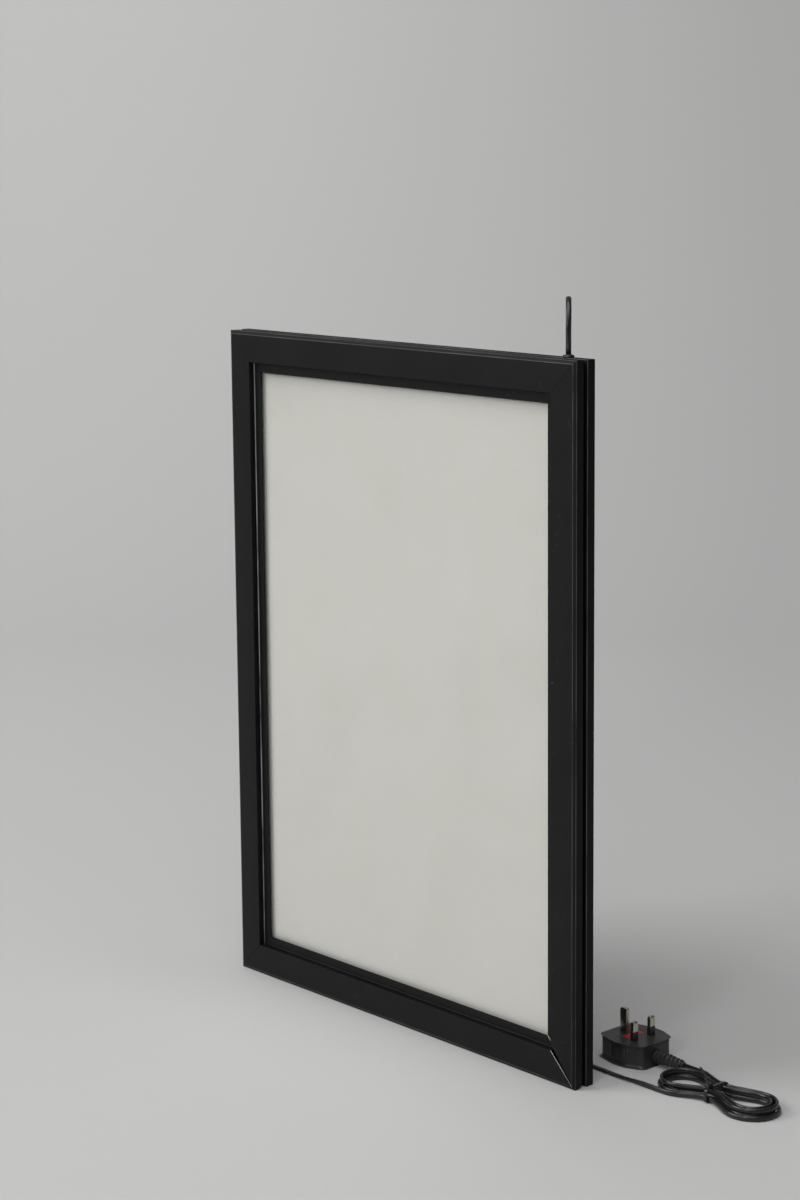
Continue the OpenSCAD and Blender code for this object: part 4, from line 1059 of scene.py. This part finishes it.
@dataclass
class Lead:
    """The free flat lead and its tied hank. Sizes in millimetres."""

    width: float = 4.9
    thick: float = 3.0
    sides: int = 20
    grommet: Grommet = Grommet()
    # The free lead rises, bends over, drops behind the box and runs on the floor to the hank
    rise: float = 46.0
    drop_at: Point = (171.0, 43.0)
    floor_y: float = 40.0
    floor_z: float = 1.6
    end_x: float = 285.5
    bends: tuple[float, ...] = (24.0, 24.0, 30.0, 40.0, 40.0)
    bend_step: float = 6.0
    line_step: float = 6.0
    # Heights over the grommet between which it turns from its edge to its wide side, and where on the floor it
    # turns back
    top_twist: Point = (5.0, 37.0)
    twist: Point = (232.0, 270.0)
    # The hank: its middle, the heights of its two layers, the crossing's half gap and its rise, and its folds
    hank_centre: Point = (330.0, 65.5)
    hank_z: float = 2.5
    layer: float = 5.5
    waist: float = 3.2
    lift: float = 1.4
    fold_r: float = 15.5
    half: float = 39.5
    step: float = 5.0
    turn_in: float = 2.0
    climb: float = 0.25
    turns: float = 3.75
    rings: int = 96
    start_l: float = 5.0
    end_l: float = 18.5

    def corners(self) -> list[tuple[Vector, float]]:
        """Gives the free lead's corners.

        Returns:
            Each corner with the radius of its bend.
        """
        top = OUTER_H + self.grommet.height
        from_x, to_x = self.twist
        places = [
            (*self.grommet.at, top), (*self.grommet.at, top + self.rise), (*self.drop_at, top + self.rise),
            (*self.drop_at, self.floor_z), (from_x, self.floor_y, self.floor_z), (to_x, self.floor_y, self.hank_z),
            (self.end_x, self.floor_y, self.hank_z),
        ]
        return [(Vector(p), radius) for p, radius in zip(places, (0.0, *self.bends, 0.0))]

    def free_line(self) -> list[Vector]:
        """Rounds the free lead's corners and spaces its points closely.

        Returns:
            The points, from the grommet on.
        """
        nearly_straight = math.radians(89)
        corners = self.corners()
        bent = [corners[0][0]]
        for (a, _), (b, radius), (c, _) in zip(corners, corners[1:], corners[2:]):
            back, on = (a - b).normalized(), (c - b).normalized()
            half = back.angle(on) / 2
            if half > nearly_straight:
                bent.append(b)
                continue
            middle = b + (back + on).normalized() * radius / math.sin(half)
            start = b + back * radius / math.tan(half) - middle
            end = b + on * radius / math.tan(half) - middle
            turn = math.pi - 2 * half
            steps = max(2, round(math.degrees(turn) / self.bend_step))
            bent += [
                middle + (start * math.sin(turn * (1 - i / steps)) + end * math.sin(turn * i / steps)) / math.sin(turn)
                for i in range(steps + 1)
            ]
        bent.append(corners[-1][0])
        line: list[Vector] = []
        for a, b in zip(bent, bent[1:]):
            parts = max(1, math.ceil((b - a).length / self.line_step))
            line += [a.lerp(b, i / parts) for i in range(parts)]
        return line

    def wide_at(self, p: Vector) -> Vector:
        """Gives the direction of the wide side of the free lead.

        Args:
            p: a point of it.
        Returns:
            The direction there.
        """
        # In front of the one it rises from the grommet, and below the other it has reached the floor
        rising_y, on_floor_z = 25.0, 40.0
        (x, y), (drop_x, drop_y) = self.grommet.at, self.drop_at
        over = Vector((y - drop_y, drop_x - x, 0)).normalized()
        above = p.z - OUTER_H - self.grommet.height
        if above > 0 and p.y < rising_y:
            turn = math.pi / 2 * (1 - eased(above, *self.top_twist))
            return over * math.cos(turn) + Vector((-over.y, over.x, 0)) * math.sin(turn)
        if p.z > on_floor_z:
            share = min(1.0, p.z / OUTER_H)
            return (over * share + Vector((0, -1, 0)) * (1 - share)).normalized()
        turn = math.pi / 2 * eased(p.x, *self.twist)
        return Vector((0, -math.cos(turn), math.sin(turn)))

    def height(self, turn: float, x: float) -> float:
        """Gives the height of the hank's line.

        Args:
            turn: how many turns lie before this place.
            x: how far it lies from the hank's middle.
        Returns:
            The height.
        """
        lift = self.lift * (1 + math.cos(math.pi * min(1.0, abs(x) / self.half))) / 2
        return self.hank_z + self.layer * eased(turn, self.turn_in, self.turn_in + self.climb) + lift

    def hank_point(self, turn: float) -> Vector:
        """Gives a point of the hank, whose turns are two crossing runs and a fold at either end.

        Args:
            turn: how many turns lie before it.
        Returns:
            The point.
        """
        # Each turn is a run, a fold, the run back and the other fold, a quarter each
        done = turn - math.floor(turn)
        # How far this loop stands out from the inner one
        out = self.step * max(self.turn_in - turn, 0, turn - self.turn_in - self.climb)
        if done < 0.25 or 0.5 <= done < 0.75:
            x = self.half * (8 * done - 1) if done < 0.25 else self.half * (5 - 8 * done)
            spread = (self.fold_r - self.waist) * (1 - math.cos(math.pi * abs(x) / self.half)) / 2
            aside = self.waist + out + spread
            spot = Vector((x, -aside if done < 0.25 else aside, self.height(turn, x)))
        else:
            a = math.radians(720 * (done - 0.25) - 90 if done < 0.5 else 720 * (done - 0.75) + 90)
            end, radius = self.half if done < 0.5 else -self.half, self.fold_r + out
            spot = Vector((end + radius * math.cos(a), radius * math.sin(a), self.height(turn, self.half)))
        return spot + Vector((*self.hank_centre, 0))

    def line(self) -> tuple[list[Vector], list[Vector]]:
        """Gives the whole lead, from the grommet to the plug.

        Returns:
            Its points, and the direction of its wide side at each.
        """
        free = self.free_line()
        hank = [self.hank_point(0) - Vector((self.start_l, 0, 0))]
        hank += [self.hank_point(i / self.rings) for i in range(int(self.turns * self.rings))]
        # It ends with a short straight piece, from just before the last turn's end to the plug
        just_before, pieces = 0.0001, 4
        last = self.hank_point(self.turns - just_before)
        left = self.hank_centre[0] - self.half
        hank += [Vector((left - self.end_l * k / pieces, last.y, last.z)) for k in range(pieces + 1)]
        return free + hank, [self.wide_at(p) for p in free] + [Vector((0, 0, 1))] * len(hank)

    def build(self, on_it: Sequence[Piece]) -> None:
        """Args:
            on_it: the tie and the plug's pieces; not used.
        """
        dress({JACKET: ["lead_inside"]})
        self.grommet.build()
        line, wide = self.line()
        made = mesh_from("mains_lead", line, [], [(i, i + 1) for i in range(len(line) - 1)])
        store(made, "wide", wide)
        lead_grower().run(made, {
            "Width": self.width * MM, "Thickness": self.thick * MM, "Sides": self.sides, "Jacket": JACKET.material(),
        })
        point_out(made)
        made.data.shade_smooth()
        keep(made, "root", "lead_black", "lead", "lead_hank")
        length = sum((b - a).length for a, b in zip(line, line[1:])) * MM
        LOG.info("lead is %.3f m long", length)
        path = [tuple(p * MM) for p in line]
        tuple(path[0])


@dataclass
class CableTie:
    """The tie round the hank's waist: a flat band, a head and a curled tail. Sizes in millimetres."""

    width: float = 3.6
    thick: float = 1.0
    # Radii of the band's corners, on the floor and over the hank
    floor_r: float = 3.5
    over_r: float = 4.5
    head_h: float = 4.0
    head_off: float = 2.0
    head_w: float = 6.0
    # How far the head is let into the band, and where in the head the tail begins
    sunk: float = 0.2
    tail_from: Point = (1.2, 0.6)
    tail_step: float = 3.4
    tail_curl: float = 0.25
    tail_taper: float = 0.86
    tip_taper: float = 0.35

    def build(self) -> Piece:
        """Builds the tie where its node lies.

        Returns:
            The piece, hung on its body.
        """
        low, high = ([c / MM for c in corner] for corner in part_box("cable_tie"))
        mid, top, head_y = (low[0] + high[0]) / 2, high[2] - self.head_h, low[1] + self.head_off
        x0, x1 = mid - self.width / 2, mid + self.width / 2
        loop = rounded([
            (low[1], low[2], self.floor_r), (high[1], low[2], self.floor_r),
            (high[1], top, self.over_r), (low[1], top, self.over_r),
        ], 6)
        count = len(loop)
        points = []
        for i, (y, z) in enumerate(loop):
            on = (Vector(loop[(i + 1) % count]) - Vector(loop[i - 1])).normalized()
            inner = (y - on.y * self.thick, z + on.x * self.thick)
            points += [(x0, y, z), (x1, y, z), (x1, *inner), (x0, *inner)]
        band = mesh_from("tie_band", points, between_rings(count, 4, True))
        band = bevelled(point_out(band), self.thick * 0.2, 2, 60)
        head_high = (high[0], head_y + self.head_w, high[2] - 0.1)
        head = block("tie_head", (low[0], head_y, top - self.sunk), head_high, 0.5)
        rings, stations = [], (0.0, 1.0, 1.8, 2.8, 3.9, 5.0, 6.2)
        for t in stations:
            y = head_y + self.tail_from[0] - self.tail_curl * t * t
            z = top + self.tail_from[1] + self.tail_step * t
            half = self.width / 2 * (self.tip_taper if t == stations[-1] else self.tail_taper)
            rings.append([(mid + a * half, y + b * self.thick / 2, z) for a, b in ((-1, -1), (1, -1), (1, 1), (-1, 1))])
        tail = bevelled(loft("tie_tail", rings), 0.15, 2, 40)
        made = coated(joined("hank_tie", [band, head, tail]), TIE)
        return keep(smooth(made, 50), "root", "tie_black", "cable_tie")


@dataclass
class Plug:
    """The moulded three-pin plug on its back, pins up. Sizes in millimetres, from its lead side inwards."""

    length: float = 50.0
    width: float = 50.0
    thick: float = 21.0
    relief_l: float = 34.0
    relief_sides: int = 28
    relief_rings: int = 12
    # The relief's core tapers from one radius to the other, and is broken at its end
    core_r: Point = (5.2, 3.2)
    core_break: float = 0.4
    # Its ribs: how many, where the first one lies, their step, the first one's radius, and what each next one lacks
    ribs: int = 7
    rib_from: float = 2.2
    rib_step: float = 4.5
    rib_r: float = 6.7
    rib_less: float = 0.36
    axis_z: float = 8.0
    pin_line: float = 17.0
    pitch: float = 22.2
    sleeve_l: float = 9.0
    # Each pin's width along the plug, across it, and its height
    line_pin: tuple[float, float, float] = (4.0, 6.35, 17.7)
    earth_pin: tuple[float, float, float] = (8.0, 4.0, 22.7)
    sleeve_t: float = 0.12
    fuse_off: float = 12.0
    fuse_size: Point = (8.4, 22.0)
    fuse_play: float = 0.15
    recess_deep: float = 2.2
    pin_corner_r: float = 0.45
    grip_pitch: float = 2.6
    grip_deep: float = 0.55
    grip_from: float = -34.0
    grip_to: float = -13.0
    # The grips lie only this near to the widest part
    grip_band: float = 4.0

    def __post_init__(self) -> None:
        """Reads where the plug lies from its node."""
        low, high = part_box("plug_body")
        self.x = high[0] / MM
        self.y = (low[1] + high[1]) / 2 / MM
        self.pins_x = self.x - self.pin_line
        self.fuse_x = self.pins_x - self.fuse_off

    def outline(self, inset: float, grip: float) -> list[Point]:
        """Gives the body's outline at a height.

        Args:
            inset: how far it is drawn in.
            grip: how much of their depth the grip ribs are pressed in by.
        Returns:
            Evenly spaced points round the body.
        """
        half, count = self.width / 2, 360
        # One side from the lead's end to the far end, with the radius of each corner
        side = [(0, half - 7, 5), (-16, half - 0.6, 9), (-27, half, 9), (-self.length, half - 5, 6)]
        raw = rounded(side + [(x, -y, r) for x, y, r in reversed(side)], 7)
        closed = [Vector(p) for p in [*raw, raw[0]]]
        lengths = [(b - a).length for a, b in zip(closed, closed[1:])]
        total = sum(lengths)
        found: list[Point] = []
        piece, done = 0, 0.0
        for k in range(count):
            want = total * k / count
            while piece < len(lengths) - 1 and done + lengths[piece] < want:
                done += lengths[piece]
                piece += 1
            spot = closed[piece].lerp(closed[piece + 1], (want - done) / max(lengths[piece], 1e-9))
            on = (closed[piece + 1] - closed[piece]).normalized()
            deep = inset
            if self.grip_from < spot.x < self.grip_to and abs(spot.y) > half - self.grip_band:
                wave = 0.5 - 0.5 * math.cos(2 * math.pi * (spot.x - self.grip_from) / self.grip_pitch)
                deep += self.grip_deep * grip * wave
            found.append((self.x + spot.x + on.y * deep, self.y + spot.y - on.x * deep))
        return found

    def body(self) -> Piece:
        """Builds the moulded body with its grips, rim and fuse recess.

        Returns:
            The piece, hung on its body.
        """
        # Height, how far the outline is drawn in there, and whether the grips are pressed in
        heights = [
            (0.0, 3.0, 0), (0.25, 2.1, 0), (0.8, 1.2, 0), (1.7, 0.5, 0), (3.0, 0.1, 0), (4.0, 0.0, 0), (4.6, 0.0, 1),
            (8.0, 0.0, 1), (12.0, 0.0, 1), (16.0, 0.0, 1), (16.6, 0.0, 0), (17.6, 0.0, 0), (17.7, 0.35, 0),
            (18.1, 0.35, 0), (18.2, 0.05, 0), (20.0, 0.1, 0), (20.6, 0.35, 0), (20.9, 0.8, 0), (21.0, 1.5, 0),
        ]
        made = loft("plug_moulding", [[(x, y, z) for x, y in self.outline(inset, grip)] for z, inset, grip in heights])
        along, across = (size / 2 + self.fuse_play for size in self.fuse_size)
        cutter = block("cutter", (self.fuse_x - along, self.y - across, self.thick - self.recess_deep),
                       (self.fuse_x + along, self.y + across, self.thick + 2), 0.4)
        cut = made.modifiers.new("fuse_recess", "BOOLEAN")
        cut.operation, cut.solver, cut.object = "DIFFERENCE", "EXACT", cutter
        plain_mesh(made)
        bpy.data.objects.remove(cutter)
        return keep(smooth(coated(made, PLUG), 32), "root", "plug_grey", "plug_body")

    def relief(self) -> Piece:
        """Builds the strain relief: a tapered core with flexing ribs, set out by a node tree, and two webs.

        Returns:
            The piece, hung on its body.
        """
        sides, rings = self.relief_sides, self.relief_rings
        (start_r, end_r), core = self.core_r, []
        # It begins a little inside the body, and ends a little short
        sunk, share = 0.3, 0.995
        for k in range(rings + 1):
            t = k / rings
            radius = start_r - (start_r - end_r) * t - (self.core_break if k == rings else 0)
            x = self.x - sunk + self.relief_l * t * share
            core.append([(x, self.y + a, self.axis_z + b) for a, b in circle(radius, sides)])
        shaft = coated(smooth(loft("relief_core", core), 50), PLUG)
        # One rib of unit radius with a round rim: each point's place along and its radius, then drawn out along
        rim = [(-0.14, 0.6), *arc((0.0, 0.86), 0.14, 180, 0, 4), (0.14, 0.6)]
        drawn_out, flattened = 17.0, 0.62
        rib = loft("relief_rib", [[(h * drawn_out, a, b) for a, b in circle(r, sides)] for h, r in rim])
        first_x = self.x + self.rib_from
        places = [(first_x + self.rib_step * i, self.y, self.axis_z) for i in range(self.ribs)]
        ribs = mesh_from("relief_ribs", places, [])
        sizes = [self.rib_r - self.rib_less * i for i in range(self.ribs)]
        store(ribs, "turn", [(0.0, 0.0, 0.0)] * self.ribs)
        store(ribs, "size", [(flattened, s, s) for s in sizes])
        copies_grower().run(ribs, {"Part": rib, "Finish": PLUG.material()})
        bpy.data.objects.remove(rib)
        parts = [shaft, smooth(ribs, 40)]
        for side in (-1, 1):
            # Each section of the web: how far along it lies, and how far out it stands
            web = [
                [(self.x + d, self.y + side * a, self.axis_z + b)
                 for a, b in ((2.6, -1.6), (2.6, 1.6), (out, 1.2), (out, -1.2))]
                for d, out in ((-0.2, 6.3), (28.6, 4.5), (30.6, 3.6))
            ]
            parts.append(coated(bevelled(loft("relief_web", web), 0.25, 2, 40), PLUG))
        return keep(joined("plug_relief", parts), "root", "plug_grey", "plug_strain_relief")

    def fuse(self) -> Piece:
        """Builds the fuse carrier: a flat cover with a raised bar at both ends.

        Returns:
            The piece, hung on its body.
        """
        along, across = (size / 2 for size in self.fuse_size)
        top, cover_t = self.thick - 0.15, 1.6
        bar_half, bar_h, bar_in, margin = 1.2, 0.14, 3.4, 1.2
        parts = [block("fuse_cover", (self.fuse_x - along, self.y - across, top - cover_t),
                       (self.fuse_x + along, self.y + across, top), 0.35)]
        for side in (-1, 1):
            y = self.y + side * (across - bar_in)
            parts.append(block("fuse_bar", (self.fuse_x - along + margin, y - bar_half, top - 0.2),
                               (self.fuse_x + along - margin, y + bar_half, top + bar_h), 0.12))
        made = coated(joined("plug_fuse_cover", parts), FUSE)
        return keep(smooth(made, 40), "root", "fuse_red", "plug_fuse_carrier")

    def pin(self, name: str, at: Point, size: Place) -> Piece:
        """Builds a pin with its end drawn in and its edges broken.

        Args:
            name: the mesh's name.
            at: the middle of its foot.
            size: its width along the plug, across it, and its height.
        Returns:
            The pin.
        """
        (x, y), (a, b, long) = at, (size[0] / 2, size[1] / 2, size[2])
        top, foot = self.thick + long, self.thick - 0.3
        # The height of each ring, and how far it is drawn in
        rings = []
        for z, inset in ((foot, 0.0), (top - 2.2, 0.0), (top - 1.0, 0.3), (top - 0.3, 0.75), (top, 1.15)):
            rings.append([(x + u, y + v, z) for u, v in self.pin_ring(a - inset, b - inset)])
        return smooth(loft(name, rings), 35)

    def pin_ring(self, u: float, v: float) -> list[Point]:
        """Gives a pin's outline about its middle.

        Args:
            u: half its width along the plug.
            v: half its width across it.
        Returns:
            The outline's points.
        """
        return rounded([(x, y, self.pin_corner_r) for x, y in ((u, v), (-u, v), (-u, -v), (u, -v))], 3)

    def pins(self) -> list[Piece]:
        """Builds the three pins and the two sleeves.

        Returns:
            The pieces, hung on their body.
        """
        feet = [(self.pins_x, self.y + side * self.pitch / 2) for side in (-1, 1)]
        sleeve = (*(side + 2 * self.sleeve_t for side in self.line_pin[:2]), self.sleeve_l + 1.0)
        blades = joined("plug_line_pins", [self.pin("pin", at, self.line_pin) for at in feet])
        earth = self.pin("plug_ground_pin", (self.pins_x - self.pitch, self.y), self.earth_pin)
        covers = joined("plug_pin_covers", [self.pin("sleeve", at, sleeve) for at in feet])
        return [
            keep(smooth(coated(blades, PIN), 35), "root", "pin_metal", "plug_live_neutral_pins"),
            keep(coated(earth, PIN), "root", "pin_metal", "plug_earth_pin"),
            keep(smooth(coated(covers, SLEEVE), 35), "root", "plug_grey", "plug_pin_sleeves"),
        ]

    def build(self) -> list[Piece]:
        """Builds the whole plug and gives its pieces."""
        return [self.body(), self.relief(), self.fuse(), *self.pins()]


# ---- Floor, light and camera


@dataclass(frozen=True)
class Lamp:
    """A soft square lamp that faces a point. Sizes in metres, power in watts."""

    name: str
    place: tuple[float, float, float]
    aim: tuple[float, float, float]
    size: Point
    power: float

    def build(self) -> None:
        """Hangs the lamp."""
        data = bpy.data.lights.new(self.name, "AREA")
        data.shape = "RECTANGLE"
        data.size, data.size_y = self.size
        data.energy = self.power
        made = bpy.data.objects.new(self.name, data)
        look = Vector(self.aim) - Vector(self.place)
        made.matrix_world = Matrix.Translation(self.place) @ look.to_track_quat("-Z", "Y").to_matrix().to_4x4()
        bpy.context.scene.collection.objects.link(made)


@dataclass
class Studio:
    """A plain pale sweep, soft lamps, and the camera at the photograph's place. Sizes in metres."""

    eye: tuple[float, float, float] = (1.75706, -1.57478, 0.84800)
    yaw: float = 0.84061
    pitch: float = 0.16293
    roll: float = -0.00928
    focal_px: float = 2615.10
    # The photograph's optical axis lies a little above the middle of its frame
    shift: float = -0.05
    frame_px: float = 1200.0
    sensor_mm: float = 36.0
    floor_colour: str = "C0C0BF"
    floor_roughness: float = 0.7
    # The sweep reaches this far to either side and to the front, and curves up from behind the object
    floor_reach: float = 9.0
    bend_from: float = 1.8
    bend_r: float = 2.2
    bend_step: float = 3.0
    bend_steps: int = 23
    world_colour: str = "E8E8EA"
    world_strength: float = 0.19
    lamps: tuple[Lamp, ...] = (
        Lamp("overhead", (0.0, -0.6, 3.4), (0, 0, 0), (2.6, 2.6), 52),
        Lamp("key", (-2.6, -3.6, 3.0), (0, 0, 0.3), (2.8, 2.8), 132),
        Lamp("ceiling", (2.6, -2.6, 4.4), (3.0, -3.0, 0), (3.0, 3.0), 46),
        Lamp("fore_left", (-6.0, -7.0, 5.0), (-7.2, -8.0, 0), (4.0, 4.0), 70),
        Lamp("fore_right", (6.0, -7.0, 5.0), (7.2, -8.0, 0), (4.0, 4.0), 70),
        Lamp("front", (1.0, -2.5, 1.4), (0.1, 0, 0.3), (0.5, 0.6), 14),
        Lamp("back", (-2.0, 0.7, 2.8), (-3.1, 2.6, 0.9), (1.5, 1.5), 24),
    )

    def camera(self) -> None:
        """Places the camera."""
        data = bpy.data.cameras.new("camera")
        data.sensor_fit = "VERTICAL"
        data.sensor_height = self.sensor_mm
        data.lens = self.focal_px / self.frame_px * self.sensor_mm
        data.shift_y = self.shift
        data.clip_end = 100
        made = bpy.data.objects.new("camera", data)
        sin_yaw, cos_yaw, level = math.sin(self.yaw), math.cos(self.yaw), math.cos(self.pitch)
        ahead = Vector((-sin_yaw * level, cos_yaw * level, -math.sin(self.pitch)))
        side = Vector((cos_yaw, sin_yaw, 0))
        top = side.cross(ahead)
        right = side * math.cos(self.roll) + top * math.sin(self.roll)
        up = top * math.cos(self.roll) - side * math.sin(self.roll)
        made.matrix_world = Matrix.Translation(self.eye) @ Matrix((right, up, -ahead)).transposed().to_4x4()
        bpy.context.scene.collection.objects.link(made)
        bpy.context.scene.camera = made

    def sweep(self) -> None:
        """Builds the floor that curves up behind the object, square to the camera's heading."""
        away = Vector((-math.sin(self.yaw), math.cos(self.yaw), 0))
        side = Vector((math.cos(self.yaw), math.sin(self.yaw), 0))
        reach, bend_r = self.floor_reach, self.bend_r
        turns = [math.radians(self.bend_step * k) for k in range(1, self.bend_steps + 1)]
        profile = [(-reach, 0.0), (self.bend_from, 0.0)]
        profile += [(self.bend_from + bend_r * math.sin(a), bend_r * (1 - math.cos(a))) for a in turns]
        points = [away * d + side * s + Vector((0, 0, z)) for d, z in profile for s in (-reach, reach)]
        faces = [(2 * i, 2 * i + 1, 2 * i + 3, 2 * i + 2) for i in range(len(profile) - 1)]
        made = mesh_from("studio_sweep", [p / MM for p in points], faces)
        made.data.shade_smooth()
        material = bpy.data.materials.new("painted_sweep")
        material.use_nodes = True
        shader = material.node_tree.nodes["Principled BSDF"].inputs
        shader["Roughness"].default_value = self.floor_roughness
        shader["Base Color"].default_value = linear(self.floor_colour)
        made.data.materials.append(material)

    def build(self) -> None:
        """Builds the camera, the floor, the lamps and the world."""
        self.camera()
        self.sweep()
        for lamp in self.lamps:
            lamp.build()
        world = bpy.data.worlds.new("room")
        bpy.context.scene.world = world
        world.use_nodes = True
        sky = world.node_tree.nodes["Background"].inputs
        sky["Color"].default_value = linear(self.world_colour)
        sky["Strength"].default_value = self.world_strength
        bpy.context.scene.view_settings.view_transform = "Standard"


def main() -> None:
    """Builds everything in order."""
    logging.basicConfig(level=logging.INFO, format="%(name)s: %(message)s")
    Studio().build()
    plug = Plug().build()
    tie = CableTie().build()
    Lead().build([tie, *plug])
    SnapFrame().build()
    RearFrame().build()
    LightPanel().build()


if __name__ == "__main__":
    main()
